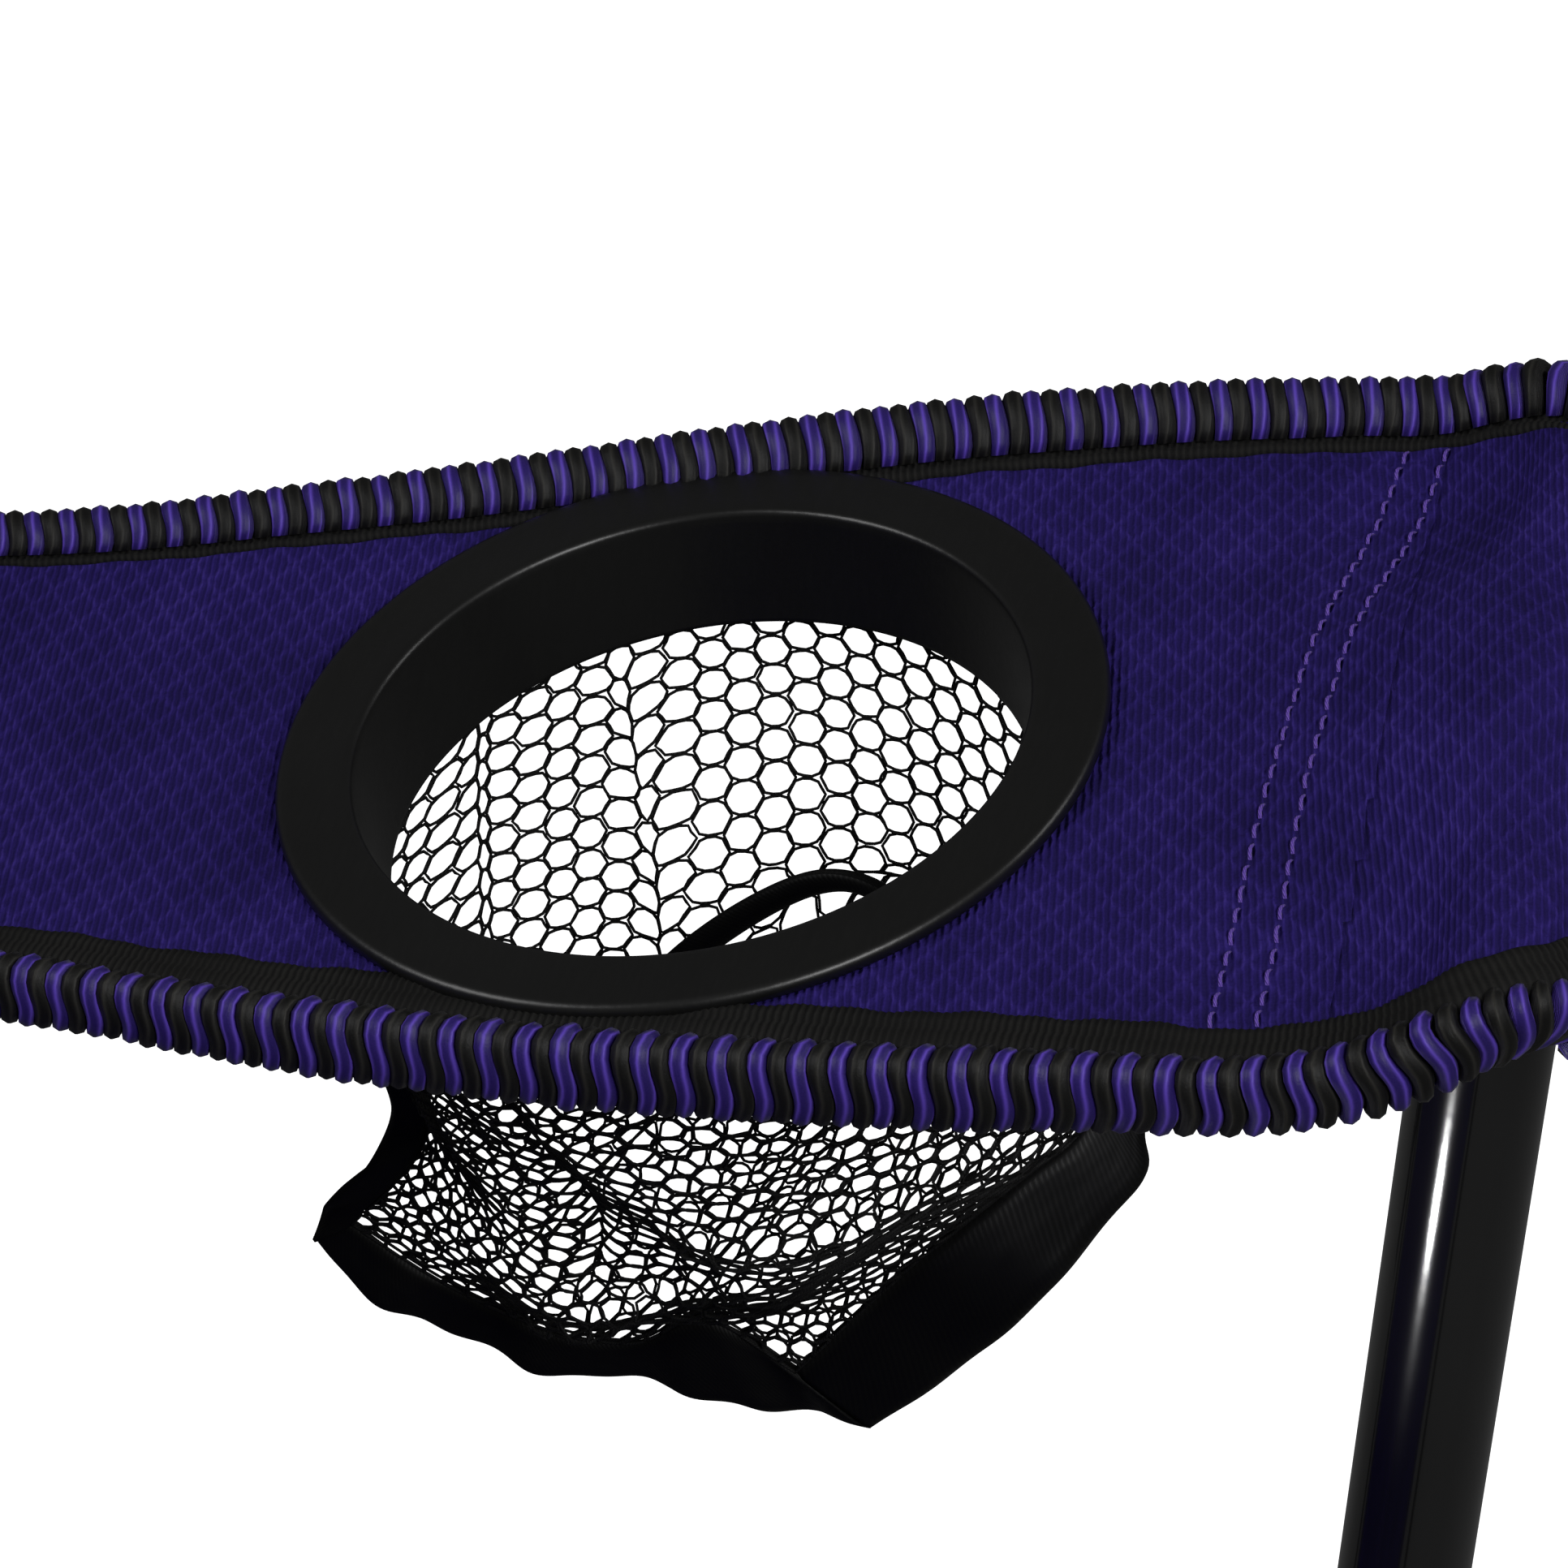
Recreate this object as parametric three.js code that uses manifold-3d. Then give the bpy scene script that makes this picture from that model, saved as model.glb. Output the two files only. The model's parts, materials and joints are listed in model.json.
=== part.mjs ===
// Folding camp chair with a cup holder in the left armrest.
// Millimetres, +Z up. The sitter looks along -Y and the sitter's left arm is on +X.
// The origin is on the ground, under the middle of the chair.
import * as THREE from 'three';
import { mergeVertices } from 'three/addons/utils/BufferGeometryUtils.js';
import Module from 'manifold-3d';

// ---- driving dimensions ----------------------------------------------------
const POST_SPACING = 500;        // between post axes, both ways
const POST_R = 9;
const POST_BORE_R = 7.8;
const POST_BOTTOM = 8.5;
const FRONT_POST_TOP = 666;
const BACK_POST_TOP = 838;

const PIVOT_INSET = 26;          // from a post's axis to its pivots
const FOOT_PIVOT_Z = 30;
const SLEEVE_PIVOT_Z = 390;
const CROSS_R = 7;               // tubes of the scissor pairs
const TUBE_WALL = 1.2;
const CROSS_BORE_R = CROSS_R - TUBE_WALL;
const CROSS_OFFSET = 8.6;        // tube axis from the plane of its two posts
const TAB_HALF_THICK = 2.3;      // flattened tube ends
const TAB_SLIT_HALF = 0.5;       // what stays open between the two flattened walls
const TAB_HALF_WIDTH = 9.2;
const TAB_END = 10;              // where the flat stretch ends, from the pivot
const TAB_RUNOUT = 32;           // where the tube is round again

const EAR_OFFSET = 3.2;
const EAR_THICK = 5;
const EAR_R = 9.5;
const HOLE_R = 3.3;
const RIVET_R = 3;
const RIVET_HEAD_R = 5.5;
const RIVET_HEAD = 1.4;
const GAP = 0.3;

const FOOT_PAD_R = 20;
const FOOT_COLLAR_R = 13;
const FOOT_TOP = 54;
const SLEEVE_R = 13;
const SLEEVE_HALF = 20;

const RING_PITCH = THREE.MathUtils.degToRad(11.77);   // the armrest climbs towards the front
const RING_ROLL = THREE.MathUtils.degToRad(4.1);      // and its outer edge is the higher one
const RING_FROM_POST = 103.4;    // ring centre behind the front post
const FLANGE_R = 53;
const FLANGE_THICK = 2.3;
const RIM_R = 43.2;              // mouth of the cup ring
const COLLAR_FOOT_R = 41.5;
const COLLAR_DEPTH = 17;
const COLLAR_WALL = 1.6;

const ARM_FRONT_Z = 675;         // ring plane at the front post
const ARM_BACK_Z = 646;
const ARM_THICK = 5;
const ARM_BEND_Y = -85;          // straight in front of this, curved behind it
const ARM_RISE_Y = -205;         // in front of this the fabric climbs to the post top
const ARM_RISE = 11;
const POCKET_DEPTH = 106;

const SEAT_EDGE = 231;
const SEAT_Z = 412;
const SEAT_SAG = 22;
const SEAT_THICK = 4;
const BACK_BOTTOM_Z = 418;
const BACK_TOP_Z = 826;
const BACK_POCKET_Z = 690;       // the back's side pockets start here
const BACK_THICK = 4;
const BACK_LOW_Y = 226;          // the back's front face, at its bottom and at its pockets
const BACK_HIGH_Y = 238;
const BACK_LOW_HALF = 224;       // half its width, at its bottom and at the armrest straps
const BACK_HIGH_HALF = 235;
const ANCHOR_LOW_Z = 631;
const ANCHOR_HIGH_Z = 661;

const HALF = POST_SPACING / 2;
const POST_SEGMENTS = 14;
const TUBE_SEGMENTS = 8;
const RIVET_SEGMENTS = 7;
const RING_SEGMENTS = 32;
const POCKET_SEGMENTS = 18;
const EAR_SEGMENTS = 4;

const UP = new THREE.Vector3(0, 0, 1);

// ---- materials ---------------------------------------------------------------
const paint = () => new THREE.MeshStandardMaterial({ color: 0x0b0b0c, roughness: 0.2, metalness: 0.6 });
const plastic = () => new THREE.MeshStandardMaterial({ color: 0x141414, roughness: 0.4, metalness: 0 });
const zinc = () => new THREE.MeshStandardMaterial({ color: 0x8d9094, roughness: 0.35, metalness: 1 });
const purpleCloth = () => new THREE.MeshStandardMaterial({ color: 0x24166e, roughness: 0.85, metalness: 0 });
const blackMesh = () => new THREE.MeshStandardMaterial({ color: 0x101010, roughness: 0.7, metalness: 0 });

// ---- solids --------------------------------------------------------------------
const wasm = await Module();
wasm.setup();
const model = new THREE.Group();

/** Keep only positions, share equal vertices, and turn the faces outwards. */
function closed(geometry) {
  geometry.deleteAttribute('normal');
  geometry.deleteAttribute('uv');
  const merged = mergeVertices(geometry, 1e-3);
  const p = merged.attributes.position;
  const index = Array.from(merged.index.array);
  const kept = [];
  let volume = 0;
  const a = new THREE.Vector3();
  const b = new THREE.Vector3();
  const c = new THREE.Vector3();
  for (let i = 0; i < index.length; i += 3) {
    const [ia, ib, ic] = index.slice(i, i + 3);
    const flat = ia === ib || ib === ic || ic === ia;
    if (!flat) {
      kept.push(ia, ib, ic);
      a.fromBufferAttribute(p, ia);
      b.fromBufferAttribute(p, ib);
      c.fromBufferAttribute(p, ic);
      volume += a.dot(b.cross(c));
    }
  }
  if (volume < 0) {
    kept.reverse();
  }
  merged.setIndex(kept);
  return merged;
}

function toSolid(geometry) {
  const shell = closed(geometry);
  return new wasm.Manifold(new wasm.Mesh({
    numProp: 3,
    vertProperties: new Float32Array(shell.attributes.position.array),
    triVerts: new Uint32Array(shell.index.array),
  }));
}

function toGeometry(solid) {
  const mesh = solid.getMesh();
  const geometry = new THREE.BufferGeometry();
  geometry.setAttribute('position', new THREE.BufferAttribute(new Float32Array(mesh.vertProperties), 3));
  geometry.setIndex(Array.from(mesh.triVerts));
  return geometry;
}

const join = (...parts) => toGeometry(parts.map(toSolid).reduce((whole, part) => whole.add(part)));
const cut = (part, ...tools) => toGeometry(
  tools.map(toSolid).reduce((whole, tool) => whole.subtract(tool), toSolid(part)),
);

function place(name, geometry, material) {
  const mesh = new THREE.Mesh(closed(geometry), material);
  mesh.name = name;
  model.add(mesh);
}

/** Turn a profile of [radius, height] points about +Z. */
function lathe(profile, segments) {
  const points = profile.map(([r, z]) => new THREE.Vector2(r, z));
  return new THREE.LatheGeometry(points, segments).rotateX(Math.PI / 2);
}

/** A closed ring of a wall between two radii and two heights. */
function pipe(inner, outer, low, high, segments) {
  return lathe([[inner, low], [outer, low], [outer, high], [inner, high], [inner, low]], segments);
}

/** A solid cylinder about an axis through a point. */
function pin(centre, axis, radius, length, segments) {
  const turn = new THREE.Quaternion().setFromUnitVectors(new THREE.Vector3(0, 1, 0), axis);
  return new THREE.CylinderGeometry(radius, radius, length, segments)
    .applyQuaternion(turn).translate(centre.x, centre.y, centre.z);
}

/** Bend a flat block: bend(s, w, t) takes 0..1 along, -1..1 across and 0..1 down. */
function slab(along, across, bend) {
  const geometry = new THREE.BoxGeometry(1, 2, 1, along, across, 1);
  const p = geometry.attributes.position;
  for (let i = 0; i < p.count; i += 1) {
    const point = bend(p.getX(i) + 0.5, p.getY(i), 0.5 - p.getZ(i));
    p.setXYZ(i, point.x, point.y, point.z);
  }
  return geometry;
}

// ---- frame: posts, feet, sleeves, scissor pairs -----------------------------------
// Each corner has a side (+1 left, -1 right) and an end (-1 front, +1 back).
const corners = [
  { name: 'front_left', side: 1, end: -1 },
  { name: 'front_right', side: -1, end: -1 },
  { name: 'back_left', side: 1, end: 1 },
  { name: 'back_right', side: -1, end: 1 },
];
const cornerPoint = (corner, z) => new THREE.Vector3(corner.side * HALF, corner.end * HALF, z);

// Each face of the chair has an outer tube and an inner one, from a foot to the sleeve across.
const faces = [
  { name: 'left', normal: new THREE.Vector3(1, 0, 0), outerFoot: corners[2], innerFoot: corners[0] },
  { name: 'right', normal: new THREE.Vector3(-1, 0, 0), outerFoot: corners[1], innerFoot: corners[3] },
  { name: 'front', normal: new THREE.Vector3(0, -1, 0), outerFoot: corners[0], innerFoot: corners[1] },
  { name: 'back', normal: new THREE.Vector3(0, 1, 0), outerFoot: corners[3], innerFoot: corners[2] },
];

/** Unit vector along a face, from one of its corners to the other. */
function inward(face, corner) {
  const other = face.outerFoot === corner ? face.innerFoot : face.outerFoot;
  return cornerPoint(other, 0).sub(cornerPoint(corner, 0)).normalize();
}

/** The pivot of a face's layer (+1 outer, -1 inner) at a corner, in the middle of the tube's tab. */
function pivot(face, corner, z, layer) {
  return cornerPoint(corner, z)
    .addScaledVector(inward(face, corner), PIVOT_INSET)
    .addScaledVector(face.normal, layer * CROSS_OFFSET);
}

/** A lug that reaches from a post's axis to its pivot, with its hole. */
function ear(face, corner, z, layer) {
  const shape = new THREE.Shape();
  shape.moveTo(0, -EAR_R);
  shape.lineTo(PIVOT_INSET, -EAR_R);
  shape.absarc(PIVOT_INSET, 0, EAR_R, -Math.PI / 2, Math.PI / 2, false);
  shape.lineTo(0, EAR_R);
  const hole = new THREE.Path();
  hole.absarc(PIVOT_INSET, 0, HOLE_R, 0, Math.PI * 2, true);
  shape.holes.push(hole);
  const along = inward(face, corner);
  const across = along.clone().cross(UP);
  const basis = new THREE.Matrix4().makeBasis(along, UP, across);
  const centre = cornerPoint(corner, z).addScaledVector(face.normal, layer * EAR_OFFSET);
  basis.setPosition(centre.addScaledVector(across, -EAR_THICK / 2));
  const plate = { depth: EAR_THICK, bevelEnabled: false, curveSegments: EAR_SEGMENTS };
  return new THREE.ExtrudeGeometry(shape, plate).applyMatrix4(basis);
}

/** The faces that meet at a corner, and the layer whose tube ends at its foot or its sleeve. */
function lugsAt(corner, atSleeve) {
  return faces
    .filter((face) => face.outerFoot === corner || face.innerFoot === corner)
    .map((face) => ({ face, layer: (face.outerFoot === corner) === atSleeve ? -1 : 1 }));
}

function makeFoot(corner) {
  const { x, y } = cornerPoint(corner, 0);
  const body = lathe([[0, 0], [FOOT_PAD_R - 2, 0], [FOOT_PAD_R, 2], [FOOT_PAD_R, 5], [FOOT_COLLAR_R, 9],
    [FOOT_COLLAR_R, FOOT_TOP], [0, FOOT_TOP]], POST_SEGMENTS).translate(x, y, 0);
  const ears = lugsAt(corner, false).map(({ face, layer }) => ear(face, corner, FOOT_PIVOT_Z, layer));
  const bore = lathe([[0, POST_BOTTOM - GAP], [POST_R + GAP, POST_BOTTOM - GAP],
    [POST_R + GAP, FOOT_TOP + 1], [0, FOOT_TOP + 1]], POST_SEGMENTS).translate(x, y, 0);
  place(`${corner.name}_foot`, cut(join(body, ...ears), bore), plastic());
}

function makeSleeve(corner) {
  const { x, y } = cornerPoint(corner, 0);
  const low = SLEEVE_PIVOT_Z - SLEEVE_HALF;
  const high = SLEEVE_PIVOT_Z + SLEEVE_HALF;
  const barrel = lathe([[0, low], [SLEEVE_R - 1, low], [SLEEVE_R, low + 1], [SLEEVE_R, high - 1],
    [SLEEVE_R - 1, high], [0, high]], POST_SEGMENTS).translate(x, y, 0);
  const ears = lugsAt(corner, true).map(({ face, layer }) => ear(face, corner, SLEEVE_PIVOT_Z, layer));
  const tongue = new THREE.BoxGeometry(30, 15, 4).translate(23, 0, high - 6)
    .rotateZ(Math.atan2(-corner.end, -corner.side)).translate(x, y, 0);
  const bore = lathe([[0, low - 1], [POST_R + 0.5, low - 1], [POST_R + 0.5, high + 1], [0, high + 1]],
    POST_SEGMENTS).translate(x, y, 0);
  place(`${corner.name}_sleeve`, cut(join(barrel, tongue, ...ears), bore), plastic());
}

/** A round tube, squeezed flat at both ends to an eye about each pivot. It runs along +Z. */
function flatEndedTube(length) {
  const half = length / 2;
  const stations = [TAB_HALF_WIDTH, -TAB_END, -TAB_RUNOUT].map((e) => half + e);
  const heights = [...stations.map((z) => -z), ...stations.reverse()];
  const outer = heights.map((z) => [CROSS_R, z]);
  const inner = heights.map((z) => [CROSS_BORE_R, z]).reverse();
  const tube = lathe([...outer, ...inner, outer[0]], TUBE_SEGMENTS);
  const p = tube.attributes.position;
  for (let i = 0; i < p.count; i += 1) {
    const fromPivot = half - Math.abs(p.getZ(i));
    const round = THREE.MathUtils.clamp((fromPivot - TAB_END) / (TAB_RUNOUT - TAB_END), 0, 1);
    const isOuter = Math.hypot(p.getX(i), p.getY(i)) > (CROSS_R + CROSS_BORE_R) / 2;
    const radius = isOuter ? CROSS_R : CROSS_BORE_R;
    const wide = isOuter ? TAB_HALF_WIDTH : TAB_HALF_WIDTH - TUBE_WALL;
    const thin = isOuter ? TAB_HALF_THICK : TAB_SLIT_HALF;
    const x = p.getX(i) * THREE.MathUtils.lerp(wide / radius, 1, round);
    const y = p.getY(i) * THREE.MathUtils.lerp(thin / radius, 1, round);
    const nose = half + Math.sqrt(Math.max(0, TAB_HALF_WIDTH ** 2 - x ** 2));
    const z = fromPivot < 0 ? Math.sign(p.getZ(i)) * nose : p.getZ(i);
    p.setXYZ(i, x, y, z);
  }
  return tube;
}

function makeCrossTube(face, layer) {
  const foot = layer > 0 ? face.outerFoot : face.innerFoot;
  const top = layer > 0 ? face.innerFoot : face.outerFoot;
  const low = pivot(face, foot, FOOT_PIVOT_Z, layer);
  const high = pivot(face, top, SLEEVE_PIVOT_Z, layer);
  const along = high.clone().sub(low);
  const length = along.length();
  along.normalize();
  const centre = low.clone().add(high).multiplyScalar(0.5);
  const basis = new THREE.Matrix4().makeBasis(face.normal.clone().cross(along), face.normal, along);
  basis.setPosition(centre);
  const tube = flatEndedTube(length).applyMatrix4(basis);
  const holes = [low, centre, high].map((at) => pin(at, face.normal, HOLE_R, 4 * CROSS_R, TUBE_SEGMENTS));
  place(`${face.name}_${layer > 0 ? 'outer' : 'inner'}_cross_tube`, cut(tube, ...holes), paint());
}

/** A headed rivet along an axis, from one clamped face to the other, with an optional collar. */
function rivet(centre, axis, from, to, collarHalf) {
  const profile = [[0, from - GAP - RIVET_HEAD], [RIVET_HEAD_R, from - GAP - RIVET_HEAD],
    [RIVET_HEAD_R, from - GAP], [RIVET_R, from - GAP]];
  if (collarHalf) {
    profile.push([RIVET_R, -collarHalf], [CROSS_R, -collarHalf]);
    profile.push([CROSS_R, collarHalf], [RIVET_R, collarHalf]);
  }
  profile.push([RIVET_R, to + GAP], [RIVET_HEAD_R, to + GAP],
    [RIVET_HEAD_R, to + GAP + RIVET_HEAD], [0, to + GAP + RIVET_HEAD]);
  const turn = new THREE.Quaternion().setFromUnitVectors(UP, axis);
  return lathe(profile, RIVET_SEGMENTS).applyQuaternion(turn).translate(centre.x, centre.y, centre.z);
}

function makeEndRivet(face, corner, z, layer, where) {
  const centre = pivot(face, corner, z, 0);
  const axis = face.normal.clone().multiplyScalar(layer);
  const geometry = rivet(centre, axis, EAR_OFFSET - EAR_THICK / 2, CROSS_OFFSET + TAB_HALF_THICK);
  place(`${face.name}_${corner.name}_${where}_rivet`, geometry, zinc());
}

function makeCrossingRivet(face) {
  const low = pivot(face, face.outerFoot, FOOT_PIVOT_Z, 0);
  const high = pivot(face, face.innerFoot, SLEEVE_PIVOT_Z, 0);
  const reach = CROSS_OFFSET + CROSS_R;
  const collarHalf = CROSS_OFFSET - CROSS_R - GAP;
  const centre = low.add(high).multiplyScalar(0.5);
  place(`${face.name}_crossing_rivet`, rivet(centre, face.normal, -reach, reach, collarHalf), zinc());
}

function makePost(corner) {
  const top = corner.end < 0 ? FRONT_POST_TOP : BACK_POST_TOP;
  const { x, y } = cornerPoint(corner, 0);
  const post = pipe(POST_BORE_R, POST_R, POST_BOTTOM, top, POST_SEGMENTS);
  place(`${corner.name}_post`, post.translate(x, y, 0), paint());
  const cap = lathe([[0, top - 16], [POST_BORE_R - GAP, top - 16], [POST_BORE_R - GAP, top + GAP],
    [POST_R + 1.5, top + GAP], [POST_R + 1.5, top + 4], [POST_R - 3, top + 8.5],
    [0, top + 10]], POST_SEGMENTS);
  place(`${corner.name}_post_cap`, cap.translate(x, y, 0), plastic());
}

for (const corner of corners) {
  makePost(corner);
  makeFoot(corner);
  makeSleeve(corner);
  for (const { face, layer } of lugsAt(corner, false)) {
    makeEndRivet(face, corner, FOOT_PIVOT_Z, layer, 'foot');
  }
  for (const { face, layer } of lugsAt(corner, true)) {
    makeEndRivet(face, corner, SLEEVE_PIVOT_Z, layer, 'sleeve');
  }
}
for (const face of faces) {
  makeCrossTube(face, 1);
  makeCrossTube(face, -1);
  makeCrossingRivet(face);
}

// ---- armrests ------------------------------------------------------------------------
/** Height of the armrest's top face along its middle, from the front post to the back one. */
function armHeight(y) {
  const slope = Math.tan(RING_PITCH);
  const start = ARM_FRONT_Z - FLANGE_THICK - GAP;
  const smooth = THREE.MathUtils.smoothstep(ARM_RISE_Y - y, 0, HALF + ARM_RISE_Y);
  const behind = Math.max(0, y - ARM_BEND_Y);
  const drop = start - slope * (y + HALF);
  const curl = (ARM_BACK_Z - (start - slope * POST_SPACING)) / (HALF - ARM_BEND_Y) ** 2;
  return drop + curl * behind ** 2 + ARM_RISE * smooth;
}

const armStations = [-244, -232, -218, -205, -190, ARM_BEND_Y, -45, -1];
const armFront = new THREE.CatmullRomCurve3([
  new THREE.Vector3(0, -HALF - 17.5, 640),
  new THREE.Vector3(0, -HALF - 17.5, 662),
  new THREE.Vector3(0, -HALF - 12, 677),
  ...armStations.map((y) => new THREE.Vector3(0, y, armHeight(y))),
]);
const armBack = new THREE.CatmullRomCurve3(
  [1, 50, 100, 150, 200, HALF - 18].map((y) => new THREE.Vector3(0, y, armHeight(y))),
);

/** Half the armrest's width, which is widest just behind the front post. */
const armWidths = [[-HALF - 17.5, 24], [-HALF - 10, 40], [-232, 58], [-220, 62], [-190, 59], [-145, 56],
  [-95, 48], [-45, 42], [60, 37], [HALF, 34]];
function armHalfWidth(y) {
  const next = armWidths.findIndex(([at]) => y < at);
  if (next <= 0) {
    return armWidths[next === 0 ? 0 : armWidths.length - 1][1];
  }
  const [y0, w0] = armWidths[next - 1];
  const [y1, w1] = armWidths[next];
  return THREE.MathUtils.mapLinear(y, y0, y1, w0, w1);
}

function armSlab(curve, steps) {
  return slab(steps, 2, (s, w, t) => {
    const at = curve.getPoint(s);
    const roll = RING_ROLL * (1 - THREE.MathUtils.smoothstep(at.y, ARM_BEND_Y, HALF));
    const lateral = new THREE.Vector3(Math.cos(roll), 0, Math.sin(roll));
    const down = lateral.clone().cross(curve.getTangent(s)).normalize().multiplyScalar(-ARM_THICK * t);
    return at.addScaledVector(lateral, w * armHalfWidth(at.y)).add(down);
  });
}

const pitchAxis = new THREE.Vector3(0, -Math.cos(RING_PITCH), Math.sin(RING_PITCH));
const ringNormal = new THREE.Vector3(0, Math.sin(RING_PITCH), Math.cos(RING_PITCH))
  .applyAxisAngle(pitchAxis, RING_ROLL);
const ringOut = ringNormal.clone().cross(pitchAxis);
const ringFrame = new THREE.Matrix4().makeBasis(pitchAxis, ringOut, ringNormal);
ringFrame.setPosition(HALF - 6, -HALF + RING_FROM_POST,
  ARM_FRONT_Z - Math.tan(RING_PITCH) * RING_FROM_POST);

function makeArm(side) {
  const name = side > 0 ? 'left' : 'right';
  let front = armSlab(armFront, 20);
  const back = armSlab(armBack, 8);
  front.translate(HALF - 6, 0, 0);
  back.translate(HALF - 6, 0, 0);
  if (side > 0) {
    const hole = pipe(0, RIM_R + COLLAR_WALL + 2 * GAP, -3 * ARM_THICK, 3 * ARM_THICK, RING_SEGMENTS);
    front = cut(front, hole.applyMatrix4(ringFrame));
  }
  place(`${name}_arm_front`, front.scale(side, 1, 1), purpleCloth());
  place(`${name}_arm_back`, back.scale(side, 1, 1), purpleCloth());
  const anchor = pipe(POST_R + GAP, POST_R + 3, ANCHOR_LOW_Z, ANCHOR_HIGH_Z, POST_SEGMENTS);
  place(`${name}_arm_anchor`, anchor.translate(side * HALF, HALF, 0), purpleCloth());
}

function makeCupRing() {
  const collarOut = RIM_R + COLLAR_WALL;
  const ring = lathe([[RIM_R, 0], [FLANGE_R - 1, 0], [FLANGE_R, -1], [FLANGE_R, -FLANGE_THICK],
    [collarOut, -FLANGE_THICK], [COLLAR_FOOT_R + COLLAR_WALL, -COLLAR_DEPTH], [COLLAR_FOOT_R, -COLLAR_DEPTH],
    [RIM_R, 0]], RING_SEGMENTS);
  place('cup_ring', ring.applyMatrix4(ringFrame), plastic());
  const under = -FLANGE_THICK - ARM_THICK - 2 * GAP - 0.3;
  const lock = pipe(collarOut + GAP, FLANGE_R - 1, under - 2.2, under, RING_SEGMENTS);
  place('cup_lock_ring', lock.applyMatrix4(ringFrame), plastic());
}

/** A thin open bag: round at its mouth, drawn out flat to a seam at the bottom. */
function makeCupPocket() {
  const top = FLANGE_THICK + ARM_THICK + 3.6;
  const wall = 1.5;
  const depths = [0, 0.25, 0.5, 0.75, 0.95, 1];
  const radii = [46.6, 46.6, 46, 45, 43, 40];
  const outer = depths.map((d, i) => [radii[i], -d * POCKET_DEPTH]);
  const inner = outer.slice(0, -1).map(([r, z]) => [r - wall, z]).reverse();
  const bottom = [0, -POCKET_DEPTH];
  const floor = [0, -0.95 * POCKET_DEPTH];
  const bag = lathe([bottom, ...outer.reverse(), ...inner.reverse(), floor], POCKET_SEGMENTS);
  const p = bag.attributes.position;
  const plumb = new THREE.Vector3(0, 0, -1).applyMatrix4(ringFrame.clone().invert().setPosition(0, 0, 0));
  for (let i = 0; i < p.count; i += 1) {
    const depth = -p.getZ(i) / POCKET_DEPTH;
    const flat = THREE.MathUtils.smoothstep(depth, 0.1, 1);
    const across = p.getX(i) * (1 + 0.12 * Math.sin(Math.PI * depth));
    const thick = p.getY(i) * (1 - 0.72 * flat);
    const drop = depth * (POCKET_DEPTH + 0.2 * across);
    p.setXYZ(i, across + plumb.x * drop, thick + plumb.y * drop, -top + plumb.z * drop);
  }
  place('cup_pocket', bag.applyMatrix4(ringFrame), blackMesh());
}

makeArm(1);
makeArm(-1);
makeCupRing();
makeCupPocket();

// ---- seat and back ---------------------------------------------------------------------
/** One quarter of the seat: a wedge from an edge of the chair to the middle. */
function makeSeatGore(name, turn) {
  const tip = 3;
  const gore = slab(5, 6, (s, w, t) => {
    const half = THREE.MathUtils.lerp(SEAT_EDGE - 1, tip, s);
    const from = THREE.MathUtils.lerp(SEAT_EDGE, tip + 1, s);
    const dip = SEAT_SAG * THREE.MathUtils.smootherstep(s, 0, 1);
    return new THREE.Vector3(w * half, -from, SEAT_Z - dip - SEAT_THICK * t);
  });
  place(name, gore.rotateZ(turn), purpleCloth());
}
makeSeatGore('seat_front', 0);
makeSeatGore('seat_left', Math.PI / 2);
makeSeatGore('seat_back', Math.PI);
makeSeatGore('seat_right', -Math.PI / 2);

function makeBackrest() {
  const levels = [BACK_BOTTOM_Z, 500, 580, ANCHOR_HIGH_Z + 4, BACK_POCKET_Z, 760, BACK_TOP_Z];
  const panel = slab(levels.length - 1, 8, (s, w, t) => {
    const z = levels[Math.round(s * (levels.length - 1))];
    const lean = THREE.MathUtils.smoothstep(z, BACK_BOTTOM_Z, BACK_POCKET_Z);
    const y = THREE.MathUtils.lerp(BACK_LOW_Y, BACK_HIGH_Y, lean);
    const free = THREE.MathUtils.mapLinear(z, BACK_BOTTOM_Z, ANCHOR_HIGH_Z, BACK_LOW_HALF, BACK_HIGH_HALF);
    const half = z < BACK_POCKET_Z ? free : HALF;
    return new THREE.Vector3(w * half, y + BACK_THICK * t, z);
  });
  const pockets = [1, -1].map((side) => pipe(POST_R, POST_R + 3.5, BACK_POCKET_Z, BACK_TOP_Z, POST_SEGMENTS)
    .translate(side * HALF, HALF, 0));
  const posts = [1, -1].map((side) => pin(new THREE.Vector3(side * HALF, HALF, BACK_TOP_Z),
    new THREE.Vector3(0, 0, 1), POST_R + GAP, POST_SPACING, POST_SEGMENTS));
  place('backrest', cut(join(panel, ...pockets), ...posts), purpleCloth());
}
makeBackrest();

export default model;
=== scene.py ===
"""Folding camp chair with a cup holder in its left armrest.

Lengths in this file are millimetres unless a name says otherwise. The sitter looks along -Y, and the
sitter's left arm is on +X. The ring frame has its origin in the middle of the cup ring's top face, u
towards the front of the chair, v outwards and n up through the ring.
"""
import json
import math

import bmesh
import bpy
import numpy as np
from mathutils import Matrix, Vector

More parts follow.
